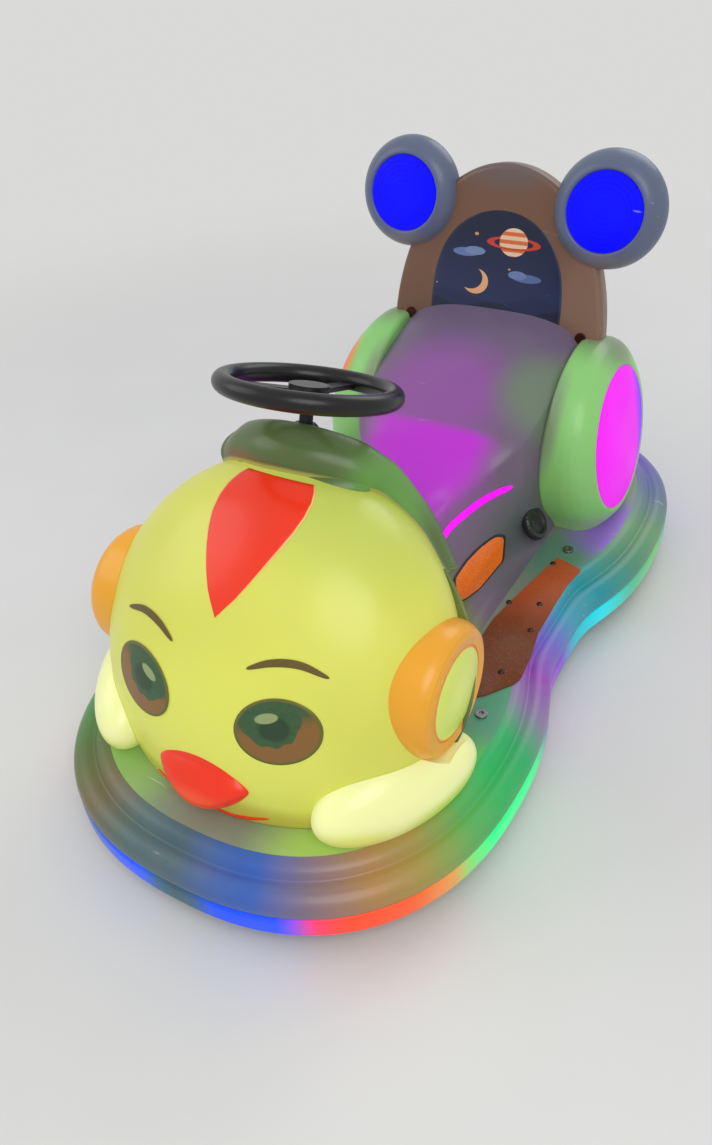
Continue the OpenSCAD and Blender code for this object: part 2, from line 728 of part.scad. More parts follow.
// Tab that reaches from a rail out to a deck bolt, under the deck
tab_t = 5;
tab_w = 36;
module frame_tab(p) {
    inner = rail_gap / 2 + tube / 2 + seat_gap;
    out = abs(p[0]) + tab_w / 2 - inner;
    side = sign(p[0]);
    translate([side > 0 ? inner : -inner - out, at(p[1]) - tab_w / 2, frame_z + tube - tab_t])
        cube([out, tab_w, tab_t]);
}

// Rear axle: a beam under the rails with a stub at each end
stub_r = 8;
axle_beam = 26;
module rear_axle() {
    inner = rear_track / 2 - rear_w / 2 - 12;
    z = rear_d / 2;
    color([0.25, 0.25, 0.27]) {
        translate([-inner, at(rear_at) - axle_beam / 2, z - axle_beam / 2])
            cube([2 * inner, axle_beam, axle_beam]);
        for (side = SIDES) {
            translate([side * rail_gap / 2 - 15, at(rear_at) - 30, z + axle_beam / 2])
                cube([30, 60, frame_z - z - axle_beam / 2]);
            translate([side * inner, at(rear_at), z]) rotate([0, side * 90, 0]) {
                cylinder(r = stub_r, h = rear_w + 24);
                cylinder(r = stub_r + 5, h = 7);
                translate([0, 0, rear_w + 17]) cylinder(r = stub_r + 5, h = 8);
            }
        }
    }
}

battery_at = 700;
battery_l = 230;
battery_z = 66;
battery_h = 72;
module battery_pack() {
    w = rail_gap - tube - 2 * seat_gap;
    color([0.15, 0.15, 0.18]) translate([-w / 2, at(battery_at), battery_z])
        cube([w, battery_l, battery_h]);
}

// Steering wheel: rim, spokes with hub, and shaft, turning about the column's axis
spoke_t = 8;
spoke_w = 26;
hub_r = 32;
hub_h = 24;
module steering_wheel_rim() {
    color([0.05, 0.05, 0.05]) column() rotate_extrude() translate([wheel_r - grip_r, 0]) circle(r = grip_r);
}
module steering_wheel_spokes() {
    color([0.07, 0.07, 0.07]) difference() {
        column() {
            translate([0, 0, -18]) cylinder(r = hub_r, h = hub_h);
            for (a = [90, 210, 330]) rotate([0, 0, a]) translate([hub_r - 6, -spoke_w / 2, -10])
                cube([wheel_r - grip_r - hub_r + 2, spoke_w, spoke_t]);
        }
        column() rotate_extrude() translate([wheel_r - grip_r, 0]) circle(r = grip_r + seat_gap);
        column() translate([0, 0, -19]) cylinder(r = shaft_r + seat_gap, h = 15);
    }
}
shaft_low = 325;
module steering_shaft() {
    len_down = (steer_z - shaft_low) / cos(rake);
    color([0.30, 0.30, 0.32]) column() translate([0, 0, -len_down]) cylinder(r = shaft_r, h = len_down - 5);
}

// Front fork: kingpin, crown, two blades and the axle of the driven wheel
blade_t = 6;
blade_w = 44;
blade_gap = 8;
crown_t = 8;
pin_r = 8;
module front_fork() {
    half = front_w / 2 + blade_gap;
    span = 2 * (half + blade_t) + 16;
    z = front_d / 2;
    crown_z = bridge_z - seat_gap - crown_t;
    color([0.25, 0.25, 0.27]) translate([0, at(fork_at), 0]) {
        translate([-half - blade_t, -blade_w / 2, crown_z]) cube([2 * (half + blade_t), blade_w, crown_t]);
        translate([0, 0, crown_z]) cylinder(r = king_r, h = crown_t + seat_gap + king_boss_h + 16);
        translate([0, 0, bridge_z + king_boss_h + 2]) cylinder(r = king_r + 7, h = 10);
        for (side = SIDES) {
            translate([side > 0 ? half : -half - blade_t, -blade_w / 2, z])
                cube([blade_t, blade_w, crown_z - z]);
            translate([side > 0 ? half : -half - blade_t, 0, z]) rotate([0, 90, 0])
                cylinder(r = blade_w / 2, h = blade_t);
        }
        translate([-span / 2, 0, z]) rotate([0, 90, 0]) cylinder(r = pin_r, h = span);
    }
}

// Front wheel: a hub motor that turns on the fork's axle, and a solid tyre round it
module wheel_place(x, s, z) { translate([x, at(s), z]) rotate([0, 90, 0]) children(); }
function tyre_profile(r, w, bore) = [
    [bore, -w * 0.40], [bore + (r - bore) * 0.35, -w / 2], [r - w * 0.16, -w / 2],
    [r - w * 0.05, -w * 0.38], [r, -w * 0.22], [r, w * 0.22], [r - w * 0.05, w * 0.38], [r - w * 0.16, w / 2],
    [bore + (r - bore) * 0.35, w / 2], [bore, w * 0.40]];
front_rim_r = 62;
module front_tyre() {
    color([0.07, 0.07, 0.07]) wheel_place(0, fork_at, front_d / 2)
        rotate_extrude() polygon(tyre_profile(front_d / 2, front_w, front_rim_r + seat_gap));
}
module front_hub_motor() {
    color([0.45, 0.46, 0.48]) wheel_place(0, fork_at, front_d / 2) {
        rotate_extrude() polygon([[pin_r + run_gap, -front_w / 2 - 2], [46, -front_w / 2 - 2],
            [front_rim_r, -front_w * 0.36], [front_rim_r, front_w * 0.36], [46, front_w / 2 + 2],
            [pin_r + run_gap, front_w / 2 + 2]]);
    }
}

rear_rim_r = 40;
module rear_tyre(side) {
    color([0.09, 0.09, 0.09]) wheel_place(side * rear_track / 2, rear_at, rear_d / 2)
        rotate_extrude() polygon(tyre_profile(rear_d / 2, rear_w, rear_rim_r + seat_gap));
}
module rear_wheel(side) {
    w = rear_w;
    color([0.75, 0.72, 0.20]) wheel_place(side * rear_track / 2, rear_at, rear_d / 2) rotate_extrude()
        polygon([[stub_r + run_gap, -w / 2 + 1], [20, -w / 2 + 1], [22, -6], [rear_rim_r - 6, -6],
            [rear_rim_r - 4, -w * 0.40], [rear_rim_r, -w * 0.40], [rear_rim_r, w * 0.40], [rear_rim_r - 4, w * 0.40],
            [rear_rim_r - 6, 6], [22, 6], [20, w / 2 - 1], [stub_r + run_gap, w / 2 - 1]]);
}
module rear_tyre_left() { rear_tyre(1); }
module rear_tyre_right() { rear_tyre(-1); }
module rear_wheel_left() { rear_wheel(1); }
module rear_wheel_right() { rear_wheel(-1); }

base_shell();
bumper_light_band();
deck_bolts();
floor_mats();
head_shell();
crest_film();
eye_films();
brow_films();
beak();
cheek_lamp_left();
cheek_lamp_right();
muff_ring_left();
muff_ring_right();
muff_discs();
dash_cowl();
column_flange();
seat_body();
light_streaks();
side_reflectors();
side_caps();
fender_left();
fender_right();
fender_lens_left();
fender_lens_right();
backrest_shell();
backrest_panel();
backrest_bolts();
ear_left();
ear_right();
ear_lens_left();
ear_lens_right();
foot_pedal();
chassis_frame();
rear_axle();
battery_pack();
steering_wheel_rim();
steering_wheel_spokes();
steering_shaft();
front_fork();
front_tyre();
front_hub_motor();
rear_tyre_left();
rear_wheel_left();
rear_tyre_right();
rear_wheel_right();
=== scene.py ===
import math

import bmesh
import bpy
import numpy as np
from bpy.props import FloatProperty, FloatVectorProperty, IntProperty, PointerProperty
from bpy.types import Operator, Panel, PropertyGroup
from mathutils import Matrix, Vector


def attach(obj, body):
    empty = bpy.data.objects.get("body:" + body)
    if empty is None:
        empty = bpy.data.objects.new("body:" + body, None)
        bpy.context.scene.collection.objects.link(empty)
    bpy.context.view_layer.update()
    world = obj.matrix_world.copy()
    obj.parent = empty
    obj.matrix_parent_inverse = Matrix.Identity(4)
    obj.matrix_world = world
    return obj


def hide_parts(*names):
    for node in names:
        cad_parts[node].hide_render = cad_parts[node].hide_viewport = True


bl_info = {
    "name": "Bumper car",
    "version": (1, 0, 0),
    "blender": (4, 5, 0),
    "location": "3D View > Sidebar > Bumper car",
    "description": "Surfaces and finishes of a battery bumper car with a chick's head, on its CAD frame",
    "category": "Object",
}

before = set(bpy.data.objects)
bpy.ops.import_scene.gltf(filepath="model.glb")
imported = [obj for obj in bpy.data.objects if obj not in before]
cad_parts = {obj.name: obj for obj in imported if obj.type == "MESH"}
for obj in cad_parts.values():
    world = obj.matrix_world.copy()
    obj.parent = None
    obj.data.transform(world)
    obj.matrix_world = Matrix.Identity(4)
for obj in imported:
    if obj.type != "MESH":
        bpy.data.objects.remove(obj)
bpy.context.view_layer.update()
MM = 0.001


def linear(r, g, b):
    """An sRGB colour of 0 to 255 as linear light: each share is scaled, then bent by the sRGB curve."""
    c = np.array([r, g, b], float) / 255
    return tuple(float(v) for v in np.where(c <= 0.04045, c / 12.92, ((c + 0.055) / 1.055) ** 2.4))


def size(name, description, mm):
    return FloatProperty(name=name, description=description, default=mm * MM, min=0.0, unit="LENGTH",
                         precision=4)


def angle(name, description, degrees):
    return FloatProperty(name=name, description=description, default=math.radians(degrees), unit="ROTATION")


def colour(name, description, r, g, b):
    return FloatVectorProperty(name=name, description=description, default=linear(r, g, b), size=3, min=0.0,
                               max=1.0, subtype="COLOR")


def count(name, description, number):
    return IntProperty(name=name, description=description, default=number, min=3)


class BumperSizes(PropertyGroup):
    length: size("Length", "Bumper from nose to tail", 1600)
    width: size("Width", "Front and rear bulges of the bumper", 830)
    waist: size("Waist", "Width beside the footwells", 716)
    front_bulge: size("Front bulge", "Distance of the widest front place from the nose", 426)
    rear_bulge: size("Rear bulge", "Distance of the widest rear place from the nose", 1170)
    power: FloatProperty(name="Roundness", description="Superellipse power of the bulges", default=2.36,
                         min=2.0)
    steps: count("Steps", "Steps along each side of the outline", 110)
    skirt_z: size("Lower edge", "Height of the bumper's lower edge", 45)
    deck_z: size("Deck", "Height of the deck", 150)
    deck_wall: size("Deck wall", "Thickness of the deck", 6)
    ring: size("Ring", "Width of the hollow ring", 40)
    band_h: size("Band height", "Height of the lit band", 42)
    band_d: size("Band depth", "Depth of the lit band", 12)


class HeadSizes(PropertyGroup):
    at: size("Station", "Distance of the head's centre from the nose", 348)
    z: size("Height", "Height of the head's centre", 312)
    rx: size("Half width", "Half the head's width", 323)
    ry: size("Half depth", "Half the head's depth across the face", 199)
    rz: size("Half height", "Half the head's height along the face", 324)
    tilt: angle("Lean", "Lean of the face to the back", 28.8)
    wall: size("Wall", "Wall of the head", 8)
    film: size("Film", "Thickness of the printed films", 0.8)
    eye_x: size("Eye distance", "Distance of each eye from the middle", 129)
    eye_r: size("Eye radius", "Half the length of an eye", 69)
    eye_turn: angle("Eye turn", "Rise of the eyes towards their outer ends", 24)
    cowl_front: size("Cowl edge", "Front edge of the cowl behind the head's middle plane", 52)
    hood_z: size("Hood height", "Height of the hood's top", 628)


class SeatSizes(PropertyGroup):
    fender_in: size("Fender inside", "Inner face of the fenders from the middle", 216)
    fender_out: size("Fender outside", "Outer face of the fenders from the middle", 312)
    fender_r: size("Fender radius", "Radius of the fender drums", 202)
    lens_r: size("Lens radius", "Radius of the lens in a fender", 147)
    fender_at: size("Fender station", "Distance of the fenders' centre from the nose", 1208)
    cap_r: size("Cap radius", "Radius of the round side caps", 37)
    lens_forward: size("Lens forward", "Distance of a lens in front of its drum's centre", 23)
    lens_up: size("Lens up", "Height of a lens above its drum's centre", 14)
    fender_lean: angle("Fender lean", "Lean of the fenders' outer faces towards the seat", 8.2)


class BackSizes(PropertyGroup):
    at: size("Station", "Distance of the backrest's foot from the nose", 1212)
    z: size("Foot height", "Height of the backrest's foot", 480)
    h: size("Height", "Height of the backrest along its face", 372)
    w: size("Width", "Width of the backrest at its foot", 480)
    t: size("Thickness", "Thickness of the backrest", 46)
    lean: angle("Lean", "Lean of the backrest", 11)
    ear_x: size("Ear distance", "Distance of each ear from the middle", 216)
    ear_z: size("Ear height", "Height of the ears' centres", 779)
    ear_r: size("Ear radius", "Radius of the ears", 112)
    ear_lens: size("Ear lens", "Radius of the lens in an ear", 74)


class SteeringSizes(PropertyGroup):
    wheel_r: size("Wheel radius", "Steering wheel to its outside", 150)
    grip_r: size("Grip radius", "Radius of the grip", 16)
    at: size("Station", "Distance of the steering wheel from the nose", 522)
    z: size("Height", "Height of the steering wheel's centre", 710)
    rake: angle("Rake", "Rake of the column from upright", 20.2)


class BodyColours(PropertyGroup):
    deck: colour("Deck", "Deck plate", 118, 134, 118)
    deck_rear: colour("Rear deck", "Deck plate behind the waist", 92, 118, 140)
    mat: colour("Mat", "Floor mats", 184, 86, 42)
    mat_shade: colour("Mat in shade", "Front end of the floor mats", 108, 58, 31)
    seat: colour("Seat", "Seat and tunnel", 112, 94, 118)
    seat_lit: colour("Lit tunnel", "Front of the tunnel, lit from inside", 190, 44, 208)
    cowl: colour("Cowl", "Cowl and hood", 84, 106, 58)
    cowl_warm: colour("Cowl underglow", "Warm glow at the hood's front", 124, 76, 34)
    fender: colour("Fender", "Fenders", 136, 198, 114)
    # Painted light: orange glow on the right fender's far edge
    fender_edge_glow: colour("Fender edge", "Far edge of the fenders", 240, 120, 40)
    lens: colour("Lens", "Fender lenses and streaks", 225, 8, 225)
    lens_edge: colour("Lens edge", "Rear edge of the fender lenses", 118, 6, 237)
    backrest: colour("Backrest", "Backrest shell", 112, 80, 62)
    ear: colour("Ear", "Ear shells", 92, 102, 126)
    ear_lens: colour("Ear lens", "Lenses in the ears", 2, 2, 245)
    reflector: colour("Reflector", "Side reflectors", 232, 112, 8)
    black: colour("Black plastic", "Boot, caps and pedal", 26, 26, 28)
    steel: colour("Steel", "Painted steel of the running gear", 44, 45, 48)


class FaceColours(PropertyGroup):
    head: colour("Head", "Head shell", 213, 215, 90)
    crest: colour("Crest and beak", "Red of the crest and beak", 232, 46, 8)
    brow: colour("Brow", "Brows", 100, 82, 32)
    eye: colour("Iris", "Green of the eyes", 54, 86, 52)
    eye_low: colour("Lower iris", "Warm crescent in the lower iris", 134, 94, 42)
    cheek: colour("Cheek lamp", "Cheek lamps", 238, 242, 168)
    ring: colour("Muff ring", "Rings of the ear muffs", 230, 160, 36)
    disc: colour("Muff disc", "Discs of the ear muffs", 207, 222, 96)


def grid_faces(n, m):
    """Quads of a grid of n rows by m columns: each point with its next in the row and the two behind them."""
    a = (np.arange(n - 1)[:, None] * m + np.arange(m - 1)[None, :]).reshape(-1)
    return np.stack([a, a + 1, a + m + 1, a + m], axis=-1)


def piece(name, patches, materials, facing=None, weld=5e-6, sharp=38.0):
    """One object from grids of points, each (rows, columns, 3) with its material number and optional map of
    (rows, columns, 2). Coinciding points are merged, and faces are turned outwards, or towards facing."""
    points, faces, index, maps, start = [], [], [], [], 0
    for patch in patches:
        grid = np.asarray(patch[0], float)
        n, m = grid.shape[:2]
        quads = grid_faces(n, m)
        points.append(grid.reshape(-1, 3))
        faces.append(quads + start)
        index.append(np.full(len(quads), patch[1] if len(patch) > 1 else 0))
        flat = patch[2].reshape(-1, 2) if len(patch) > 2 else np.zeros((n * m, 2))
        maps.append(flat)
        start += n * m
    points, faces, index, maps = map(np.concatenate, (points, faces, index, maps))
    mesh = bpy.data.meshes.new(name)
    mesh.vertices.add(len(points))
    mesh.vertices.foreach_set("co", points.astype(np.float32).ravel())
    mesh.loops.add(faces.size)
    mesh.loops.foreach_set("vertex_index", faces.astype(np.int32).ravel())
    mesh.polygons.add(len(faces))
    mesh.polygons.foreach_set("loop_start", np.arange(0, faces.size, 4, dtype=np.int32))
    mesh.polygons.foreach_set("material_index", index.astype(np.int32))
    layer = mesh.uv_layers.new(name="surface")
    layer.data.foreach_set("uv", maps[faces.ravel()].astype(np.float32).ravel())
    mesh.update(calc_edges=True)
    for material in materials:
        mesh.materials.append(material)
    join(mesh, weld, facing)
    return linked(name, mesh, sharp)


def join(mesh, weld, facing=None):
    """Merges points closer than weld, drops faces left with no area, and turns the rest the right way."""
    bm = bmesh.new()
    bm.from_mesh(mesh)
    bmesh.ops.remove_doubles(bm, verts=bm.verts, dist=weld)
    bmesh.ops.dissolve_degenerate(bm, edges=bm.edges, dist=weld)
    if facing is None:
        bmesh.ops.recalc_face_normals(bm, faces=bm.faces)
    else:
        bm.normal_update()
        mean = sum((f.normal * f.calc_area() for f in bm.faces), Vector())
        if mean.dot(Vector(facing)) < 0:
            bmesh.ops.reverse_faces(bm, faces=bm.faces)
    bm.to_mesh(mesh)
    bm.free()


def linked(name, mesh, sharp):
    """An object for the mesh at the origin, shaded smooth except over edges sharper than the angle."""
    mesh.name = name
    mesh.shade_smooth()
    mesh.set_sharp_from_angle(angle=math.radians(sharp))
    obj = bpy.data.objects.new(name, mesh)
    bpy.context.scene.collection.objects.link(obj)
    return obj


def copied(name, node, material, sharp=32.0):
    """A copy of a CAD node's triangles, merged where they meet and laid together where they are flat."""
    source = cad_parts[node].data
    points = np.empty(len(source.vertices) * 3, np.float32)
    source.vertices.foreach_get("co", points)
    corners = np.empty(len(source.loops), np.int32)
    source.loops.foreach_get("vertex_index", corners)
    mesh = bpy.data.meshes.new(name)
    mesh.from_pydata(points.reshape(-1, 3), [], corners.reshape(-1, 3))
    mesh.materials.append(material)
    bm = bmesh.new()
    bm.from_mesh(mesh)
    bmesh.ops.remove_doubles(bm, verts=bm.verts, dist=1e-5)
    bmesh.ops.dissolve_limit(bm, angle_limit=math.radians(0.4), verts=bm.verts, edges=bm.edges)
    bm.to_mesh(mesh)
    bm.free()
    return linked(name, mesh, sharp)


def placed(obj, body, slot, *nodes):
    """Puts the piece on its body and hides the CAD nodes it stands for. The slot is not used."""
    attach(obj, body)
    if nodes:
        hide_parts(*nodes)
    return obj


def bevelled(obj, width, segments=2, limit=32.0):
    """Rounds the sharp edges of a piece."""
    bevel = obj.modifiers.new("edges", "BEVEL")
    bevel.width = width
    bevel.segments = segments
    bevel.limit_method = "ANGLE"
    bevel.angle_limit = math.radians(limit)
    bevel.harden_normals = True
    return obj


def walled(obj, thickness):
    """Gives a surface its wall, inwards from its faces."""
    wall = obj.modifiers.new("wall", "SOLIDIFY")
    wall.thickness = thickness
    wall.offset = -1.0
    wall.use_quality_normals = True
    return obj


def kept_above(obj, point, normal):
    """Cuts the piece's mesh with a plane and keeps the side that the normal points to."""
    bm = bmesh.new()
    bm.from_mesh(obj.data)
    geometry = bm.verts[:] + bm.edges[:] + bm.faces[:]
    bmesh.ops.bisect_plane(bm, geom=geometry, dist=1e-7, plane_co=point, plane_no=normal, clear_inner=True)
    bm.to_mesh(obj.data)
    bm.free()
    return obj


def softened(points, radius, steps=4, closed=False):
    """Rounds the corners of a broken line: each corner gives way to a parabola that starts and ends on its
    two sides, radius from it, or 0.45 of the side where that is less. Rows of points may have any number of
    columns."""
    p = np.asarray(points, float)
    before, after = np.roll(p, 1, axis=0), np.roll(p, -1, axis=0)
    la = np.linalg.norm((before - p)[:, :2], axis=1)[:, None]
    lb = np.linalg.norm((after - p)[:, :2], axis=1)[:, None]
    a = p + (before - p) * np.minimum(radius / np.maximum(la, 1e-9), 0.45)
    b = p + (after - p) * np.minimum(radius / np.maximum(lb, 1e-9), 0.45)
    t = np.linspace(0, 1, steps)[None, :, None]
    arcs = (1 - t) ** 2 * a[:, None] + 2 * t * (1 - t) * p[:, None] + t ** 2 * b[:, None]
    if closed:
        out = arcs.reshape(-1, p.shape[1])
        return np.vstack([out, out[:1]])
    return np.vstack([p[:1], arcs[1:-1].reshape(-1, p.shape[1]), p[-1:]])


def smooth_rows(table, at):
    """Rows of a table at new values of its first column: a cubic through each pair of rows whose slopes are
    the table's own differences."""
    table = np.asarray(table, float)
    x, y = table[:, 0], table[:, 1:]
    slope = np.gradient(y, x, axis=0)
    k = np.clip(np.searchsorted(x, at, side="right") - 1, 0, len(x) - 2)
    h = (x[k + 1] - x[k])[:, None]
    t = ((at - x[k]) / (x[k + 1] - x[k]))[:, None]
    return ((2 * t ** 3 - 3 * t ** 2 + 1) * y[k] + (t ** 3 - 2 * t ** 2 + t) * h * slope[k]
            + (3 * t ** 2 - 2 * t ** 3) * y[k + 1] + (t ** 3 - t ** 2) * h * slope[k + 1])


def turned(profile, steps=96):
    """A profile of [radius, height] carried once round the Z axis, as a grid that closes on itself."""
    a = np.linspace(0, 2 * math.pi, steps + 1)[None, :]
    r, h = np.asarray(profile, float).T[:, :, None]
    return np.stack(np.broadcast_arrays(r * np.cos(a), r * np.sin(a), h), axis=-1)


def leaned(points, y, z, lean):
    """Points of a frame at height z and place y whose own Z leans back: the YZ plane turned by the lean."""
    x, py, pz = np.moveaxis(np.asarray(points, float), -1, 0)
    c, s = math.cos(lean), math.sin(lean)
    return np.stack([x, y + c * py + s * pz, z - s * py + c * pz], axis=-1)


def sideways(points, side, x, y, z):
    """Points of a frame whose own Z points out to the side, at the given place."""
    px, py, pz = np.moveaxis(np.asarray(points, float), -1, 0)
    return np.stack([side * (x + pz), y + py, z - px], axis=-1)


# Stations of the front axle, the ear muffs, the pedal, the rear axle and the ears
FRONT_AXLE, MUFFS, PEDAL, REAR_AXLE, EARS = 0.360, 0.360, 0.640, 1.180, 1.250
MUFF_Z, PEDAL_ASIDE, REAR_TRACK = 0.337, 0.270, 0.560
# Tyres as (radius, width, radius of the bore)
FRONT_TYRE, REAR_TYRE = (0.090, 0.048, 0.0623), (0.065, 0.038, 0.0403)


def at(station):
    """The Y of a station, which is a distance from the bumper's nose."""
    return station - bpy.context.scene.bumper_sizes.length / 2


def add(tree, kind, inputs=(), **settings):
    """A shader node with its settings, and its inputs linked or set."""
    node = tree.nodes.new(kind)
    for key, value in settings.items():
        setattr(node, key, value)
    for key, value in dict(inputs).items():
        socket = node.inputs[key]
        if isinstance(value, bpy.types.NodeSocket):
            tree.links.new(value, socket)
        else:
            socket.default_value = value
    return node


def calc(tree, operation, *values, clamp=False):
    """One Math node."""
    node = tree.nodes.new("ShaderNodeMath")
    node.operation = operation
    node.use_clamp = clamp
    for k, value in enumerate(values):
        if isinstance(value, bpy.types.NodeSocket):
            tree.links.new(value, node.inputs[k])
        else:
            node.inputs[k].default_value = value
    return node.outputs[0]


def blend(tree, share, a, b, mode="MIX"):
    """One colour Mix node."""
    node = tree.nodes.new("ShaderNodeMix")
    node.data_type = "RGBA"
    node.blend_type = mode
    for socket, value in ((node.inputs[0], share), (node.inputs[6], a), (node.inputs[7], b)):
        if isinstance(value, bpy.types.NodeSocket):
            tree.links.new(value, socket)
        elif isinstance(value, (int, float)):
            socket.default_value = value
        else:
            socket.default_value = (*value[:3], 1.0)
    return node.outputs[2]


def band(tree, value, low, high, invert=False):
    """Smooth step of a value from 0 at low to 1 at high, or the other way round."""
    node = add(tree, "ShaderNodeMapRange", interpolation_type="SMOOTHSTEP")
    tree.links.new(value, node.inputs["Value"])
    node.inputs["From Min"].default_value = low
    node.inputs["From Max"].default_value = high
    node.inputs["To Min"].default_value = 1.0 if invert else 0.0
    node.inputs["To Max"].default_value = 0.0 if invert else 1.0
    return node.outputs["Result"]


def group(name, inputs, outputs, fill):
    """A node group made once: inputs and outputs are (name, socket type, default), and fill builds its
    inside."""
    if name in bpy.data.node_groups:
        return bpy.data.node_groups[name]
    tree = bpy.data.node_groups.new(name, "ShaderNodeTree")
    for label, kind, default in inputs:
        socket = tree.interface.new_socket(label, in_out="INPUT", socket_type=kind)
        if default is not None:
            socket.default_value = default
    for label, kind, _ in outputs:
        tree.interface.new_socket(label, in_out="OUTPUT", socket_type=kind)
    source, target = tree.nodes.new("NodeGroupInput"), tree.nodes.new("NodeGroupOutput")
    for label, socket in fill(tree, source.outputs).items():
        tree.links.new(socket, target.inputs[label])
    return tree


FLOAT, VECTOR, COLOUR = "NodeSocketFloat", "NodeSocketVector", "NodeSocketColor"


def moulded_grain():
    """Fine grain of moulded plastic over a slow waviness, and the roughness that goes with it."""
    def fill(tree, given):
        fine = add(tree, "ShaderNodeTexNoise",
                   {"Vector": given["Vector"], "Scale": given["Scale"], "Detail": 3.0})
        slow = add(tree, "ShaderNodeTexNoise", {"Vector": given["Vector"], "Scale": 9.0, "Detail": 1.0})
        height = calc(tree, "ADD", calc(tree, "MULTIPLY", fine.outputs["Fac"], 0.35), slow.outputs["Fac"])
        change = calc(tree, "MULTIPLY", calc(tree, "SUBTRACT", slow.outputs["Fac"], 0.5), given["Change"])
        return {"Height": height, "Roughness": calc(tree, "ADD", given["Roughness"], change)}
    return group("moulded_grain",
                 [("Vector", VECTOR, None), ("Scale", FLOAT, 600.0), ("Roughness", FLOAT, 0.3),
                  ("Change", FLOAT, 0.15)],
                 [("Height", FLOAT, None), ("Roughness", FLOAT, None)], fill)


def handling_marks():
    """Dust that gathers in patches, heavier low down, and thin scuffs from shoes and bumps."""
    def fill(tree, given):
        patches = add(tree, "ShaderNodeTexNoise", {"Vector": given["Vector"], "Scale": 6.0, "Detail": 5.0})
        low = band(tree, add(tree, "ShaderNodeSeparateXYZ", {"Vector": given["Vector"]}).outputs["Z"], 0.05,
                   0.35, invert=True)
        dust = calc(tree, "MULTIPLY", band(tree, patches.outputs["Fac"], 0.42, 0.75),
                    calc(tree, "ADD", calc(tree, "MULTIPLY", low, 0.6), 0.25))
        stretch = add(tree, "ShaderNodeMapping", {"Vector": given["Vector"], "Scale": (12.0, 95.0, 60.0),
                                                  "Rotation": (0.3, 0.5, 0.7)})
        lines = add(tree, "ShaderNodeTexNoise",
                    {"Vector": stretch.outputs["Vector"], "Scale": 1.0, "Detail": 2.0})
        scuff = calc(tree, "MULTIPLY", band(tree, lines.outputs["Fac"], 0.70, 0.76),
                     band(tree, patches.outputs["Fac"], 0.5, 0.65))
        return {"Dust": calc(tree, "MULTIPLY", dust, given["Dust"]),
                "Scuff": calc(tree, "MULTIPLY", scuff, given["Scuff"])}
    return group("handling_marks",
                 [("Vector", VECTOR, None), ("Dust", FLOAT, 0.4), ("Scuff", FLOAT, 0.4)],
                 [("Dust", FLOAT, None), ("Scuff", FLOAT, None)], fill)


def light_and_shade_zone():
    """Painted light and shade: blends a colour in round a centre, fading out over a radius, as light inside
    the shell does.
    """
    def fill(tree, given):
        away = add(tree, "ShaderNodeVectorMath", {0: given["Vector"], 1: given["Centre"]},
                   operation="SUBTRACT")
        share = add(tree, "ShaderNodeVectorMath", {0: away.outputs[0], 1: given["Reach"]}, operation="DIVIDE")
        far_off = add(tree, "ShaderNodeVectorMath", {0: share.outputs[0]}, operation="LENGTH")
        mask = band(tree, far_off.outputs["Value"], 0.35, 1.0, invert=True)
        return {"Color": blend(tree, mask, given["Color"], given["Zone"])}
    return group("light_and_shade_zone",
                 [("Vector", VECTOR, None), ("Centre", VECTOR, None), ("Reach", VECTOR, (1.0, 1.0, 1.0)),
                  ("Color", COLOUR, None), ("Zone", COLOUR, None)],
                 [("Color", COLOUR, None)], fill)


def material(name):
    """An empty node material with its Principled shader, its tree and the Object coordinates."""
    made = bpy.data.materials.new(name)
    made.use_nodes = True
    tree = made.node_tree
    shader = next(n for n in tree.nodes if n.type == "BSDF_PRINCIPLED")
    where = add(tree, "ShaderNodeTexCoord").outputs["Object"]
    return made, tree, shader, where


def use(tree, made_group, inputs):
    node = tree.nodes.new("ShaderNodeGroup")
    node.node_tree = made_group
    for key, value in inputs.items():
        if isinstance(value, bpy.types.NodeSocket):
            tree.links.new(value, node.inputs[key])
        elif isinstance(node.inputs[key].default_value, float):
            node.inputs[key].default_value = value
        else:
            short = node.inputs[key].type == "RGBA" and len(value) == 3
            node.inputs[key].default_value = (*value, 1.0) if short else value
    return node


def zoned(tree, where, base, zones):
    """The base colour with each zone of painted light and shade blended in: [centre, reach, colour] in
    metres.
    """
    for centre, reach, tone in zones:
        reach = (reach,) * 3 if isinstance(reach, (int, float)) else reach
        base = use(tree, light_and_shade_zone(), {"Vector": where, "Centre": centre, "Reach": reach, "Color": base,
                                      "Zone": tone}).outputs["Color"]
    return base


def both_sides(x, y, z, reach, tone):
    """Two zones of painted light and shade that mirror each other."""
    return [((side * x, y, z), reach, tone) for side in (1, -1)]


def ramp(tree, value, stops):
    """A colour ramp of (place, colour) stops."""
    node = add(tree, "ShaderNodeValToRGB", {"Fac": value})
    elements = node.color_ramp.elements
    elements[0].position, elements[0].color = stops[0][0], (*stops[0][1], 1.0)
    elements[1].position, elements[1].color = stops[-1][0], (*stops[-1][1], 1.0)
    for place, tone in stops[1:-1]:
        elements.new(place).color = (*tone, 1.0)
    return node.outputs["Color"]


# Finishes that more than one material shares
PRINT = {"rough": 0.3, "grain": 300.0, "dust": 0.1, "coat": 0.2}
SHELL = {"rough": 0.34, "grain": 500.0, "dust": 0.2, "coat": 0.1}
LIT_LENS = {"rough": 0.4, "grain": 300.0, "coat": 0.0, "shine": 0.15}


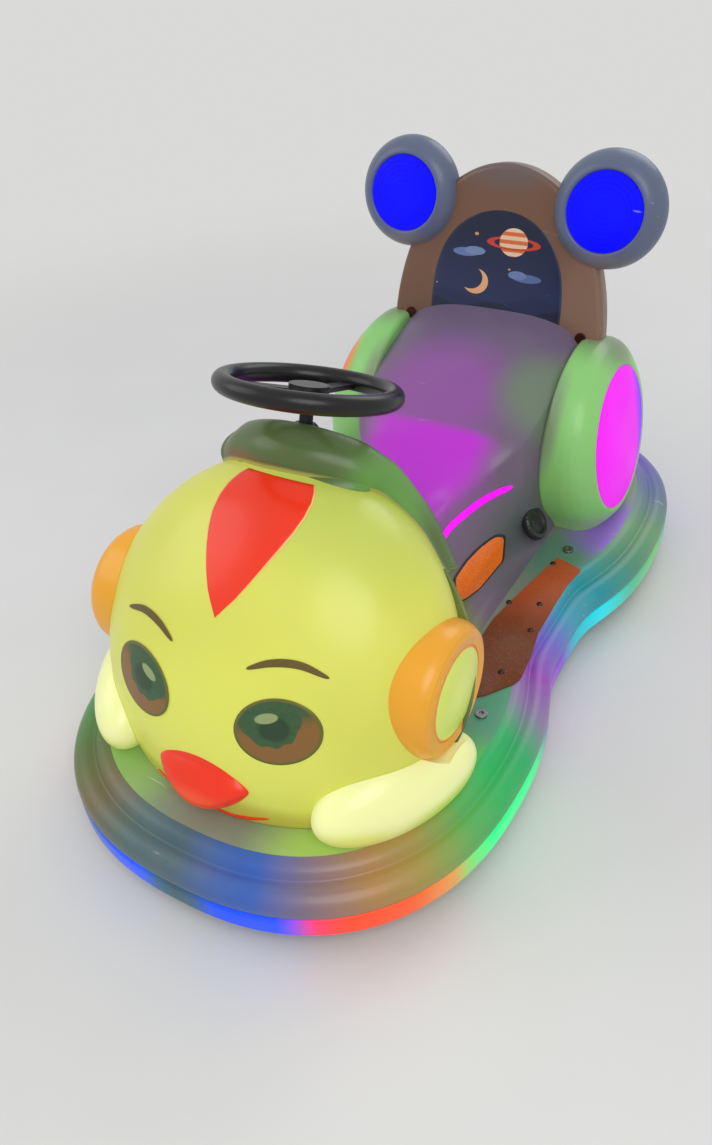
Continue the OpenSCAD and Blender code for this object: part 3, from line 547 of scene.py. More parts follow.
def plastic(name, paint, rough=0.36, glow=0.0, grain=700.0, depth=0.0006, dust=0.25, scuff=0.4, coat=0.1,
            bump=0.25, shine=0.36):
    """Moulded plastic: paint gives its colour from the tree and the Object coordinates, and a lit piece glows
    with that colour."""
    made, tree, shader, where = material(name)
    tone = paint(tree, where)
    marks = use(tree, handling_marks(), {"Vector": where, "Dust": dust, "Scuff": scuff})
    dusty = blend(tree, marks.outputs["Dust"], tone, linear(150, 142, 130))
    worn = blend(tree, marks.outputs["Scuff"], dusty, linear(205, 200, 190))
    surface = use(tree, moulded_grain(),
                  {"Vector": where, "Scale": grain, "Roughness": rough, "Change": 0.22})
    uneven = calc(tree, "ADD", surface.outputs["Roughness"],
                  calc(tree, "MULTIPLY", marks.outputs["Dust"], 0.5))
    tree.links.new(worn, shader.inputs["Base Color"])
    tree.links.new(uneven, shader.inputs["Roughness"])
    relief = add(tree, "ShaderNodeBump",
                 {"Height": surface.outputs["Height"], "Strength": bump, "Distance": depth})
    tree.links.new(relief.outputs["Normal"], shader.inputs["Normal"])
    shader.inputs["Specular IOR Level"].default_value = shine
    shader.inputs["Coat Weight"].default_value = coat
    shader.inputs["Coat Roughness"].default_value = 0.15
    if glow:
        tree.links.new(tone, shader.inputs["Emission Color"])
        shader.inputs["Emission Strength"].default_value = glow
    return made


def steel(name, tone, rough=0.45, metallic=1.0, rust=0.3):
    """Metal with blotchy tone, grain and a little rust that sits in patches."""
    made, tree, shader, where = material(name)
    blotch = add(tree, "ShaderNodeTexNoise", {"Vector": where, "Scale": 22.0, "Detail": 5.0})
    spots = add(tree, "ShaderNodeTexNoise", {"Vector": where, "Scale": 55.0, "Detail": 8.0})
    base = blend(tree, blotch.outputs["Fac"], [0.72 * v for v in tone], [min(1.0, 1.25 * v) for v in tone])
    rusty = calc(tree, "MULTIPLY", band(tree, spots.outputs["Fac"], 0.60, 0.72), rust)
    tree.links.new(blend(tree, rusty, base, linear(104, 62, 38)), shader.inputs["Base Color"])
    surface = use(tree, moulded_grain(),
                  {"Vector": where, "Scale": 420.0, "Roughness": rough, "Change": 0.25})
    tree.links.new(calc(tree, "ADD", surface.outputs["Roughness"], calc(tree, "MULTIPLY", rusty, 0.4)),
                   shader.inputs["Roughness"])
    relief = add(tree, "ShaderNodeBump",
                 {"Height": surface.outputs["Height"], "Strength": 0.25, "Distance": 0.0004})
    tree.links.new(relief.outputs["Normal"], shader.inputs["Normal"])
    shader.inputs["Metallic"].default_value = metallic
    return made


def plain(tone):
    """Paint of one tone with a slow change of lightness over the piece."""
    def paint(tree, where):
        slow = add(tree, "ShaderNodeTexNoise", {"Vector": where, "Scale": 4.0, "Detail": 2.0})
        return blend(tree, slow.outputs["Fac"], [0.86 * v for v in tone], [min(1.0, 1.12 * v) for v in tone])
    return paint


def half_width(y, inset, waist_inset):
    """Half the bumper's width at y: two superellipses, one about each bulge, and the straight waist between
    them, joined by a power mean of power 24. All three are set in by their insets."""
    s = bpy.context.scene.bumper_sizes

    def bulge(middle, reach):
        t = np.clip(np.abs(y - middle) / reach, 0, 1)
        return (s.width / 2 - inset) * (1 - t ** s.power) ** (1 / s.power)
    front, rear = at(s.front_bulge), at(s.rear_bulge)
    a = bulge(front, front + s.length / 2 - inset)
    b = bulge(rear, s.length / 2 - inset - rear)
    c = np.where((y > front) & (y < rear), s.waist / 2 - waist_inset, 0)
    top = np.maximum(np.maximum(a, b), np.maximum(c, 1e-6))
    return top * ((a / top) ** 24 + (b / top) ** 24 + (c / top) ** 24) ** (1 / 24) * (top > 1e-6)


def even(z, inset):
    """A row of the outline whose inset is the same at the bulges and at the waist."""
    return [z, inset, inset]


def outline_rows(rows):
    """The outline at each row of [height, inset, waist inset]: stations spaced as a cosine, the left side
    from nose to tail and the right side back. Returns the grid and its map, with the share of the length
    round as U."""
    s = bpy.context.scene.bumper_sizes
    rows = np.asarray(rows, float)
    z, inset, waist = rows[:, 0:1], rows[:, 1:2], rows[:, 2:3]
    t = (1 - np.cos(np.linspace(0, math.pi, s.steps + 1))) / 2
    y = -s.length / 2 + inset + (s.length - 2 * inset) * t[None, :]
    x = half_width(y, inset, waist)
    left = np.stack(np.broadcast_arrays(x, y, z), axis=-1)
    right = left[:, ::-1] * [-1, 1, 1]
    grid = np.concatenate([left, right[:, 1:]], axis=1)
    widest = grid[np.argmin(rows[:, 1])]
    steps = np.linalg.norm(np.diff(widest[:, :2], axis=0), axis=1)
    way = np.concatenate([[0.0], np.cumsum(steps)]) / steps.sum()
    level = np.linspace(0, 1, len(rows))
    uv = np.stack(np.meshgrid(way, level), axis=-1)
    return grid, uv


def outline_cap(z, inset, waist, opening):
    """The flat inside of the outline at one height: at each station a line from side to side, with points
    at the opening's sides. Returns its patches round an opening of [half width, front y, rear y], and the
    opening's edge."""
    s = bpy.context.scene.bumper_sizes
    t = (1 - np.cos(np.linspace(0, math.pi, s.steps + 1))) / 2
    y = (-s.length / 2 + inset + (s.length - 2 * inset) * t)[:, None]
    reach = half_width(y, inset, waist)
    side = np.minimum(opening[0], reach)
    share = np.linspace(0, 1, 6)[None, :]
    right = side + (reach - side) * share
    x = np.concatenate([-right[:, ::-1], 0 * side, right], axis=1)
    grid = np.stack(np.broadcast_arrays(x, y, z), axis=-1)
    a, b = np.searchsorted(s.length * (t - 0.5), opening[1:]) - [1, 0]
    edge = np.vstack([grid[a, 5:8], grid[a + 1:b, 7], grid[b, 7:4:-1], grid[b - 1:a:-1, 5], grid[a, 5:6]])
    return [grid[:, :6], grid[:, 7:], grid[:a + 1, 5:8], grid[b:, 5:8]], edge


# Lights inside the rim, as (share of the way round from the nose over the left side, colour)
RIM_TONES = [(0.00, (66, 94, 106)), (0.02, (48, 90, 166)), (0.035, (54, 94, 176)), (0.055, (124, 106, 124)),
             (0.08, (170, 126, 72)), (0.10, (160, 142, 70)), (0.125, (84, 170, 84)), (0.145, (30, 176, 88)),
             (0.17, (34, 168, 98)), (0.19, (134, 122, 156)), (0.215, (146, 66, 178)), (0.24, (110, 104, 196)),
             (0.26, (14, 154, 182)), (0.285, (10, 142, 154)), (0.315, (76, 140, 112)),
             (0.345, (100, 152, 102)), (0.38, (84, 110, 140)), (0.42, (104, 84, 176)), (0.50, (70, 110, 190)),
             (0.60, (90, 150, 120)), (0.68, (120, 90, 190)), (0.74, (30, 150, 176)), (0.80, (140, 80, 176)),
             (0.86, (50, 160, 90)), (0.92, (86, 108, 56)), (0.95, (108, 98, 66)), (0.975, (78, 102, 100)),
             (1.00, (66, 94, 106))]
BAND_TONES = [(0.00, (44, 76, 84)), (0.010, (44, 80, 110)), (0.018, (14, 70, 220)), (0.044, (14, 70, 238)),
              (0.050, (126, 72, 206)), (0.057, (228, 54, 96)), (0.068, (234, 62, 36)), (0.095, (218, 84, 40)),
              (0.113, (204, 140, 70)), (0.122, (110, 200, 104)), (0.135, (28, 230, 128)),
              (0.175, (42, 220, 130)), (0.195, (96, 120, 140)), (0.215, (146, 58, 176)),
              (0.243, (112, 66, 180)), (0.258, (14, 160, 176)), (0.285, (16, 200, 212)),
              (0.31, (66, 168, 130)), (0.345, (98, 168, 92)), (0.40, (80, 100, 200)), (0.50, (30, 90, 235)),
              (0.60, (40, 200, 180)), (0.70, (150, 60, 215)), (0.80, (60, 215, 90)), (0.88, (225, 120, 50)),
              (0.93, (90, 80, 150)), (0.955, (44, 80, 170)), (0.982, (10, 72, 240)), (0.992, (36, 84, 120)),
              (1.00, (44, 76, 84))]


def distances(tree, uv, scale, shift):
    """A maker of distances from a centre, in half axes, on a map scaled and shifted; with its X and Y."""
    part = add(tree, "ShaderNodeSeparateXYZ", {"Vector": uv})
    x, y = (calc(tree, "SUBTRACT", calc(tree, "MULTIPLY", part.outputs[k], scale), shift) for k in "XY")

    def away(cx, cy, rx, ry):
        squares = [calc(tree, "POWER", calc(tree, "DIVIDE", calc(tree, "SUBTRACT", v, c), r), 2.0)
                   for v, c, r in ((x, cx, rx), (y, cy, ry))]
        return calc(tree, "SQRT", calc(tree, "ADD", *squares))
    return away, x, y


def round_paint(tones):
    """Paint that follows the way round the bumper: the map's U, read through a colour ramp."""
    def paint(tree, where):
        uv = add(tree, "ShaderNodeUVMap", uv_map="surface").outputs["UV"]
        u = add(tree, "ShaderNodeSeparateXYZ", {"Vector": uv}).outputs["X"]
        return ramp(tree, u, [(place, linear(*tone)) for place, tone in tones])
    return paint


class CAR_OT_base_shell(Operator):
    """Deck with the bumper ring: the outline carried through a profile of heights and insets"""
    bl_idname = "car.base_shell"
    bl_label = "Base shell"

    def execute(self, context):
        s, c = context.scene.bumper_sizes, context.scene.body_colours
        ceiling, tier, top = s.deck_z - s.deck_wall, s.deck_z - 19 * MM, s.skirt_z + s.band_h
        rebate, crease, waist = s.band_d + 0.3 * MM, 40 * MM, 36 * MM
        rows = np.array([
            even(ceiling, s.ring + 24 * MM), even(ceiling - 8 * MM, s.ring + 6 * MM),
            even(ceiling - 22 * MM, s.ring), even(s.skirt_z, s.ring), even(s.skirt_z, rebate),
            even(top + 0.3 * MM, rebate), even(top + 0.3 * MM, 4 * MM), even(top + 7 * MM, 1 * MM),
            even(top + 16 * MM, 0), even(tier - 15 * MM, 3 * MM), even(tier - 8 * MM, 9 * MM),
            even(tier - 2 * MM, 18 * MM), even(tier, 28 * MM),
            [tier - 2 * MM, crease, waist], [tier + 3 * MM, crease + 3 * MM, waist + MM],
            [s.deck_z - 8 * MM, crease + 8 * MM, waist + 3 * MM],
            [s.deck_z - 3 * MM, crease + 16 * MM, waist + 5 * MM],
            [s.deck_z, crease + 30 * MM, waist + 9 * MM]])
        grid, uv = outline_rows(softened(rows, 3.5 * MM, 4))
        well = (190 * MM, at(FRONT_AXLE) - 113 * MM, at(FRONT_AXLE) + 113 * MM)
        under, low_edge = outline_cap(ceiling, *rows[0, 1:], well)
        deck, high_edge = outline_cap(s.deck_z, *rows[-1, 1:], well)

        def deck_paint(tree, where):
            base = plain(c.deck)(tree, where)
            # Painted light and shade: coloured pools of glow over the deck plate, darker and bluer behind the
            # waist
            return zoned(tree, where, base, [
                ((-0.22, -0.68, 0.15), 0.20, linear(136, 176, 96)),
                ((0.02, -0.72, 0.15), 0.15, linear(126, 136, 116)),
                ((0.24, -0.66, 0.15), 0.18, linear(160, 194, 92)),
                ((0.36, -0.47, 0.15), 0.19, linear(80, 190, 84)),
                ((0.35, -0.26, 0.15), 0.14, linear(78, 150, 116)),
                ((-0.36, -0.42, 0.15), 0.20, linear(96, 124, 84)),
                ((0.27, 0.19, 0.15), 0.12, linear(92, 132, 112)),
                ((0.36, 0.13, 0.15), 0.09, linear(76, 144, 142)),
                ((0.35, 0.33, 0.15), 0.15, linear(142, 104, 204)),
                ((-0.34, 0.30, 0.15), 0.24, linear(96, 130, 150)),
                ((0.0, 0.72, 0.15), 0.34, c.deck_rear)])
        patches = [(grid, 0, uv), (np.stack([low_edge, high_edge]), 2)]
        patches += [(g, 2) for g in under] + [(g, 1) for g in deck]
        obj = piece("base_shell_surface", patches, [
            plastic("bumper_tier", round_paint(RIM_TONES), rough=0.36, glow=0.10, dust=0.25, scuff=0.6),
            plastic("deck_plate", deck_paint, rough=0.38, glow=0.08, dust=0.3, scuff=0.7),
            plastic("deck_underside", plain(linear(96, 104, 100)), rough=0.55, dust=0.9)])
        placed(obj, "car", "shell", "base_shell")
        return {"FINISHED"}


class CAR_OT_light_band(Operator):
    """Lit band at the foot of the bumper, a closed loop with rounded edges"""
    bl_idname = "car.light_band"
    bl_label = "Lit band"

    def execute(self, context):
        s = context.scene.bumper_sizes
        low, high = s.skirt_z + 2 * MM, s.skirt_z + s.band_h
        rows = [even(low, s.band_d), even(low, 3 * MM), even(low + 5 * MM, 0), even(high - 6 * MM, 0),
                even(high, 3 * MM), even(high, s.band_d)]
        grid, uv = outline_rows(softened(rows, 2.5 * MM, 4, closed=True))
        made = plastic("lit_band", round_paint(BAND_TONES), rough=0.32, glow=0.55, grain=300.0, dust=0.15,
                       scuff=0.4, coat=0.1, shine=0.25)
        placed(piece("light_band_surface", [(grid, 0, uv)], [made]), "car", "light_band", "bumper_light_band")
        return {"FINISHED"}


# Edges of a mat as [station, inner x from the mat's inner line, outer x from its outer line, outer x counts]
MAT_INNER, MAT_OUTER = 222.0, 313.0
MAT_EDGE = [(512, 28, None, 250), (520, 0, None, 262), (542, 2, None, 292), (592, 4, 14, None),
            (612, 3, 20, None), (680, 1, 14, None), (740, 0, 2, None), (839, 15, 0, None), (900, 26, 0, None),
            (940, 33, 5, None), (960, 36, 8, None), (978, 40, None, 268)]


class CAR_OT_deck_fittings(Operator):
    """Floor mats with their screws, deck bolts and the foot pedal"""
    bl_idname = "car.deck_fittings"
    bl_label = "Deck fittings"

    def execute(self, context):
        s, c = context.scene.bumper_sizes, context.scene.body_colours

        def mat_paint(tree, where):
            y = add(tree, "ShaderNodeSeparateXYZ", {"Vector": where}).outputs["Y"]
            speckle = add(tree, "ShaderNodeTexNoise", {"Vector": where, "Scale": 420.0, "Detail": 2.0})
            # Painted shade: the mats darken towards their front ends
            base = blend(tree, band(tree, y, -0.10, 0.10), c.mat_shade, c.mat)
            return blend(tree, band(tree, speckle.outputs["Fac"], 0.5, 0.7), base, [0.7 * v for v in c.mat])
        mat_finish = plastic("floor_mat_vinyl", mat_paint, rough=0.5, grain=900.0, bump=0.6, dust=0.3,
                             scuff=0.9, coat=0.0, glow=0.03, shine=0.2)
        edge = np.array([(e[0], MAT_INNER + e[1], MAT_OUTER + e[2] if e[2] is not None else e[3])
                         for e in MAT_EDGE]) * MM
        rows = np.linspace(edge[0, 0], edge[-1, 0], 90)
        inner, outer = np.interp(rows, edge[:, 0], edge[:, 1]), np.interp(rows, edge[:, 0], edge[:, 2])
        across = np.linspace(0, 1, 14)[None, :]
        x = inner[:, None] * (1 - across) + outer[:, None] * across
        y = np.broadcast_to((rows - s.length / 2)[:, None], x.shape)
        left = np.stack([x, y, np.full_like(x, s.deck_z + 4 * MM)], axis=-1)
        for side, name in ((1, "floor_mat_left"), (-1, "floor_mat_right")):
            obj = piece(name, [(left * [side, 1, 1],)], [mat_finish], facing=(0, 0, 1))
            walled(obj, 3.8 * MM)
            bevelled(obj, 1.2 * MM, 2, 50)
            placed(obj, "car", "mat", *(["floor_mats"] if side == 1 else []))
        screw = steel("screw_steel", linear(70, 68, 66), rough=0.4)
        dome = softened([[0, 3.0], [3.4, 2.8], [5.4, 1.6], [6.0, 0]], 0.6, 3) * MM
        spots = [(0.300, -0.06), (0.286, 0.02), (0.296, -0.19), (0.232, -0.19), (0.230, 0.0), (0.262, 0.155)]
        heads = [turned(dome, 20) + [side * px, py, s.deck_z + 4 * MM]
                 for px, py in spots for side in (1, -1)]
        placed(piece("mat_screws", [(g,) for g in heads], [screw]), "car", "fastener")
        bolts = copied("deck_bolt_heads", "deck_bolts",
                       steel("bolt_steel", linear(150, 150, 148), rough=0.32))
        placed(bevelled(bolts, 0.8 * MM), "car", "fastener", "deck_bolts")
        tread = plastic("pedal_rubber", plain(c.black), rough=0.55, grain=500.0, bump=0.5, coat=0.0)
        pedal = copied("pedal", "foot_pedal", tread)
        placed(bevelled(pedal, 1.5 * MM), "car", "black_plastic", "foot_pedal")
        lean = math.radians(24)
        ribs = []
        for k in range(7):
            along = 0.008 + 0.011 * k
            rib = np.array([[-26, 4.6], [-25, 6.4], [25, 6.4], [26, 4.6]])
            line = softened(rib, 1.0, 3) * MM
            width = np.array([-2.2, -1.4, 1.4, 2.2])[:, None] * MM
            drop = np.array([0.0, 1.6, 1.6, 0.0])[:, None] * MM
            px = np.broadcast_to(line[None, :, 0], (4, len(line)))
            py = along + np.broadcast_to(width, px.shape)
            pz = 3.4 * MM + drop * (line[None, :, 1] / (6.4 * MM))
            wy = -0.008 + py * math.cos(lean) - pz * math.sin(lean)
            wz = 0.014 + py * math.sin(lean) + pz * math.cos(lean)
            ribs.append(np.stack([px - PEDAL_ASIDE, at(PEDAL) + wy, s.deck_z + 4 * MM + wz], axis=-1))
        placed(piece("pedal_ribs", [(r,) for r in ribs], [tread], facing=(0, -0.4, 0.9)), "car",
               "black_plastic")
        return {"FINISHED"}


def on_face(x, v, lift=0.0):
    """Points on the head's ellipsoid grown by lift, x to the side and v up the face: the depth is the
    ellipsoid's own at that place, and the whole is leaned back."""
    h = bpy.context.scene.head_sizes
    share = 1 - (x / (h.rx + lift)) ** 2 - (v / (h.rz + lift)) ** 2
    depth = -(h.ry + lift) * np.sqrt(np.maximum(share, 0))
    return leaned(np.stack(np.broadcast_arrays(x, depth, v), axis=-1), at(h.at), h.z, h.tilt)


def film_between(low, high, stations, rows=7, lift=0.0):
    """A patch between two curves of [x, v], each read at the same x, on the face."""
    low, high = np.array(low, float) * MM, np.array(high, float) * MM
    x = np.linspace(low[0, 0], low[-1, 0], stations)[:, None]
    a, b = np.interp(x, low[:, 0], low[:, 1]), np.interp(x, high[:, 0], high[:, 1])
    t = np.linspace(0, 1, rows)[None, :]
    return on_face(np.broadcast_to(x, (stations, rows)), a * (1 - t) + b * t, lift)


class CAR_OT_head_shell(Operator):
    """Hollow head: level sections of the leaned ellipsoid, each an ellipse about a centre that moves back
    with height, from the deck to the crown"""
    bl_idname = "car.head_shell"
    bl_label = "Head shell"

    def execute(self, context):
        s, h, f = context.scene.bumper_sizes, context.scene.head_sizes, context.scene.face_colours
        cs, sn = math.cos(h.tilt), math.sin(h.tilt)
        reach = math.hypot(h.rz * cs, h.ry * sn)
        shift = (h.rz ** 2 - h.ry ** 2) * sn * cs / reach ** 2
        depth = h.ry * h.rz / reach
        phi = np.linspace(math.asin((s.deck_z - h.z) / reach), math.pi / 2, 90)[:, None]
        a = np.linspace(0, 2 * math.pi, 161)[None, :]
        t = reach * np.sin(phi)
        x = h.rx * np.cos(phi) * np.cos(a)
        y = at(h.at) + shift * t + depth * np.cos(phi) * np.sin(a)
        grid = np.stack(np.broadcast_arrays(x, y, h.z + t), axis=-1)

        def paint(tree, where):
            base = plain(f.head)(tree, where)
            # Painted light and shade: the face a little brighter in the middle, darker towards the crown
            # under the cowl's edge, and a warm band of shade at its foot above the deck
            return zoned(tree, where, base, [
                ((0.0, -0.70, 0.30), (0.34, 0.16, 0.22), linear(219, 223, 94)),
                ((0.12, -0.36, 0.60), (0.24, 0.20, 0.20), linear(190, 202, 88)),
                ((0.0, -0.66, 0.165), (0.34, 0.2, 0.05), linear(196, 186, 72))])
        made = plastic("head_plastic", paint, rough=0.34, glow=0.10, grain=500.0, dust=0.1, scuff=0.3,
                       coat=0.12)
        obj = piece("head_surface", [(grid,)], [made])
        walled(obj, h.wall)
        placed(obj, "car", "head_shell", "head_shell")
        return {"FINISHED"}


# Middle of a brow as (share of its length, x, v on the face)
BROW_LINE = [(0.0, 69, 24), (0.3, 104, 42), (0.65, 146, 50), (1.0, 190, 41)]
CREST_EDGE = [(82, 0), (100, 13.5), (117, 26), (146, 42), (175, 56), (200, 67), (225, 76), (250, 80),
              (270, 78), (285, 71), (294, 62)]


class CAR_OT_face_films(Operator):
    """Printed films on the head: crest wedge, brows and eyes, each a thin patch of the head's own curve"""
    bl_idname = "car.face_films"
    bl_label = "Crest, brows and eyes"

    def execute(self, context):
        h, f = context.scene.head_sizes, context.scene.face_colours
        lift = 0.3 * MM + h.film
        edge = np.array(CREST_EDGE, float) * MM
        v = np.linspace(edge[0, 0], edge[-1, 0], 60)[:, None]
        across = np.linspace(-1, 1, 25)[None, :]
        half = np.interp(v, edge[:, 0], edge[:, 1])
        uv = np.stack(np.broadcast_arrays((across + 1) / 2, (v - edge[0, 0]) / (edge[-1, 0] - edge[0, 0])),
                      axis=-1)

        def crest_paint(tree, where):
            uv_in = add(tree, "ShaderNodeUVMap", uv_map="surface").outputs["UV"]
            u = add(tree, "ShaderNodeSeparateXYZ", {"Vector": uv_in}).outputs["X"]
            side = calc(tree, "ABSOLUTE", calc(tree, "SUBTRACT", u, 0.5))
            base = plain(f.crest)(tree, where)
            return blend(tree, band(tree, side, 0.478, 0.492), base, linear(250, 205, 120))
        red = plastic("crest_print", crest_paint, glow=0.14, scuff=0.25, bump=0.12, **PRINT)
        obj = piece("crest_patch", [(on_face(half * across, np.broadcast_to(v, (60, 25)), lift), 0, uv)],
                    [red], facing=(0, -1, 0.6))
        placed(walled(obj, h.film), "car", "red_film", "crest_film")

        t = np.linspace(0, 1, 48)
        line = smooth_rows(BROW_LINE, t) * MM
        slope = np.gradient(line, axis=0)
        side = np.stack([-slope[:, 1], slope[:, 0]], axis=-1) / np.linalg.norm(slope, axis=1)[:, None]
        full = 6.2 * MM * np.maximum(np.sin(math.pi * t), 0) ** 0.42
        rows = line[:, None] + side[:, None] * full[:, None, None] * np.linspace(-1, 1, 9)[None, :, None]
        brow = on_face(rows[..., 0], rows[..., 1], lift)
        olive = plastic("brow_print", plain(f.brow), rough=0.34, glow=0.02, grain=300.0, dust=0.1, coat=0.1,
                        bump=0.1)
        obj = piece("brow_patches", [(brow,), (brow * [-1, 1, 1],)], [olive], facing=(0, -1, 0.6))
        placed(walled(obj, h.film), "car", "brow_film", "brow_films")

        r = np.linspace(0, 1, 22)[:, None]
        a = np.linspace(0, 2 * math.pi, 97)[None, :]
        ex, ev = r * np.cos(a), r * np.sin(a)
        uv = np.stack([ex / 2 + 0.5, ev / 2 + 0.5], axis=-1)
        cs, sn = math.cos(h.eye_turn), math.sin(h.eye_turn)
        x = h.eye_x + h.eye_r * (ex * cs - 0.76 * ev * sn)
        v = -60 * MM + h.eye_r * (ex * sn + 0.76 * ev * cs)
        patches = [(on_face(x, v, lift), 0, uv), (on_face(-x, v, lift), 0, uv)]
        obj = piece("eye_patches", patches, [self.eye(f)], facing=(0, -1, 0.3))
        placed(walled(obj, h.film), "car", "eye_film", "eye_films")
        return {"FINISHED"}

    def eye(self, f):
        """Eye drawn in its own map: rim, iris with fine rays, warm wavy crescent below it, and one
        highlight."""
        def paint(tree, where):
            uv = add(tree, "ShaderNodeUVMap", uv_map="surface").outputs["UV"]
            away, x, y = distances(tree, uv, 2.0, 1.0)
            rays = add(tree, "ShaderNodeTexNoise", {"Vector": uv, "Scale": 14.0, "Detail": 3.0})
            iris = blend(tree, rays.outputs["Fac"], [0.75 * v for v in f.eye],
                         [min(1, 1.3 * v) for v in f.eye])
            wave = calc(tree, "MULTIPLY", calc(tree, "SINE", calc(tree, "MULTIPLY", x, 17.0)), 0.035)
            low = calc(tree, "ADD", away(-0.08, 0.42, 0.70, 0.86), wave)
            tone = blend(tree, band(tree, low, 0.98, 1.04), iris, f.eye_low)
            tone = blend(tree, band(tree, y, 0.0, 0.5), tone, iris)
            tone = blend(tree, band(tree, away(-0.02, 0.10, 0.42, 0.44), 0.7, 1.0, invert=True), tone,
                         linear(40, 66, 40))
            tone = blend(tree, band(tree, away(-0.12, 0.44, 0.30, 0.17), 0.80, 1.0, invert=True), tone,
                         linear(146, 160, 108))
            return blend(tree, band(tree, away(0.0, 0.0, 1.0, 1.0), 0.90, 0.93), tone, linear(104, 100, 40))
        return plastic("eye_print", paint, rough=0.34, glow=0.02, grain=300.0, dust=0.06, scuff=0.2, coat=0.1,
                       bump=0.08)


BILL_EDGE = [(0, -241), (18, -239), (38, -231), (58, -217), (76, -200), (90, -180), (70, -165), (47, -155),
             (24, -149), (0, -147)]


class CAR_OT_beak(Operator):
    """Beak: a leaf outline on the face, filled from its middle out, that stands proud of the head by the
    bill's ellipsoid and rounds down to it at the edge, with the line of the smile below"""
    bl_idname = "car.beak"
    bl_label = "Beak"

    def execute(self, context):
        h, f, s = context.scene.head_sizes, context.scene.face_colours, context.scene.bumper_sizes
        half = np.array(BILL_EDGE, float)
        loop = np.vstack([half, (half[-2:0:-1] * [-1, 1])])
        edge = softened(loop, 9, 5, closed=True) * MM
        middle = np.array([0, -194]) * MM
        r = np.sin(np.linspace(0, math.pi / 2, 26))[:, None, None]
        flat = middle + (edge[None] - middle) * r
        x, v = flat[..., 0], flat[..., 1]
        head = h.ry * np.sqrt(np.maximum(1 - (x / h.rx) ** 2 - (v / h.rz) ** 2, 0))
        bill = 118 * MM + 66 * MM * np.sqrt(np.maximum(1 - (x / 0.135) ** 2 - ((v + 0.195) / 0.082) ** 2, 0))
        proud = np.maximum(bill - head, 2.5 * MM) * np.sqrt(np.maximum(1 - r[..., 0] ** 7, 0)) + 0.4 * MM
        grid = leaned(np.stack([x, -(head + proud), v], axis=-1), at(h.at), h.z, h.tilt)

        def paint(tree, where):
            base = plain(f.crest)(tree, where)
            # Painted highlight: the beak's lower lip lighter
            return zoned(tree, where, base, [((0.0, -0.735, 0.205), (0.10, 0.06, 0.03), linear(238, 76, 26))])
        made = plastic("beak_plastic", paint, glow=0.12, scuff=0.3, **PRINT)
        obj = piece("beak_surface", [(grid,)], [made], facing=(0, -1, 0))
        placed(walled(obj, 2.5 * MM), "car", "beak", "beak")

        low = [(-112, -229), (-79, -243), (-50, -249), (0, -249), (50, -249), (79, -243), (112, -229)]
        top = [(-112, -228), (-77, -238), (-50, -244.5), (0, -244.5), (50, -244.5), (77, -238), (112, -228)]
        smile = film_between(low, top, 60, 5, 2.4 * MM)
        obj = piece("smile_line", [(smile,)], [made], facing=(0, -1, 0))
        kept_above(obj, (0, 0, s.deck_z + 0.4 * MM), (0, 0, 1))
        placed(walled(obj, 2.0 * MM), "car", "beak")
        return {"FINISHED"}


class CAR_OT_cheek_lamps(Operator):
    """Egg-shaped cheek lamps"""
    bl_idname = "car.cheek_lamps"
    bl_label = "Cheek lamps"

    def execute(self, context):
        f = context.scene.face_colours

        def paint(tree, where):
            base = plain(f.cheek)(tree, where)
            return zoned(tree, where, base, [
                *both_sides(0.34, -0.46, 0.16, (0.14, 0.18, 0.05), linear(206, 224, 104)),
                *both_sides(0.26, -0.66, 0.16, (0.12, 0.08, 0.06), linear(226, 232, 120))])
        made = plastic("cheek_lamp_plastic", paint, rough=0.3, glow=0.14, grain=300.0, dust=0.08, scuff=0.25,
                       coat=0.2)
        for node in ("cheek_lamp_left", "cheek_lamp_right"):
            placed(bevelled(copied(node + "_surface", node, made), 1.0 * MM), "car", "cheek_lamp", node)
        return {"FINISHED"}


class CAR_OT_muffs(Operator):
    """Ear muffs: ring and lit disc on each side of the head"""
    bl_idname = "car.muffs"
    bl_label = "Ear muffs"

    def execute(self, context):
        f = context.scene.face_colours

        def disc_paint(tree, where):
            aside = add(tree, "ShaderNodeVectorMath", {0: where, 1: (0.0, at(MUFFS), MUFF_Z)},
                        operation="SUBTRACT")
            flat = add(tree, "ShaderNodeVectorMath", {0: aside.outputs[0], 1: (0.0, 1.0, 1.0)},
                       operation="MULTIPLY")
            away = add(tree, "ShaderNodeVectorMath", {0: flat.outputs[0]},
                       operation="LENGTH").outputs["Value"]
            base = plain(f.disc)(tree, where)
            base = blend(tree, band(tree, away, 0.0, 0.06, invert=True), base, linear(218, 230, 112))
            return blend(tree, band(tree, away, 0.0735, 0.0745), base, linear(226, 130, 40))
        ring = plastic("muff_ring_plastic", plain(f.ring), rough=0.32, glow=0.10, grain=400.0, dust=0.15,
                       coat=0.15)
        disc = plastic("muff_disc_plastic", disc_paint, rough=0.32, glow=0.14, grain=300.0, dust=0.1,
                       coat=0.15)
        for node in ("muff_ring_left", "muff_ring_right"):
            placed(bevelled(copied(node + "_surface", node, ring), 1.5 * MM, 3, 24), "car", "muff_ring", node)
        placed(bevelled(copied("muff_disc_surfaces", "muff_discs", disc), 0.8 * MM), "car", "muff_disc",
               "muff_discs")
        return {"FINISHED"}


# Lip of the hood at nine stations from right to left, as [foot on the head, width backwards, rise], each an
# (x, y, z) in mm
LIP = [(-150, -332, 570, 16, 60, 16, -6, 0, 30), (-113, -349, 591, 8, 68, 20, -3, -2, 36),
       (-44, -371, 608, 0, 76, 24, 0, -3, 40), (26, -369, 609, 0, 76, 24, 0, -3, 41),
       (91, -348, 598, -6, 72, 16, 4, 0, 38), (121, -330, 584, -8, 64, 10, 10, 3, 31),
       (142, -310, 565, -8, 54, 2, 14, 8, 23), (195, -300, 515, -8, 46, -14, 12, 12, 10),
       (245, -313, 456, -4, 34, -18, 9, 9, 5)]


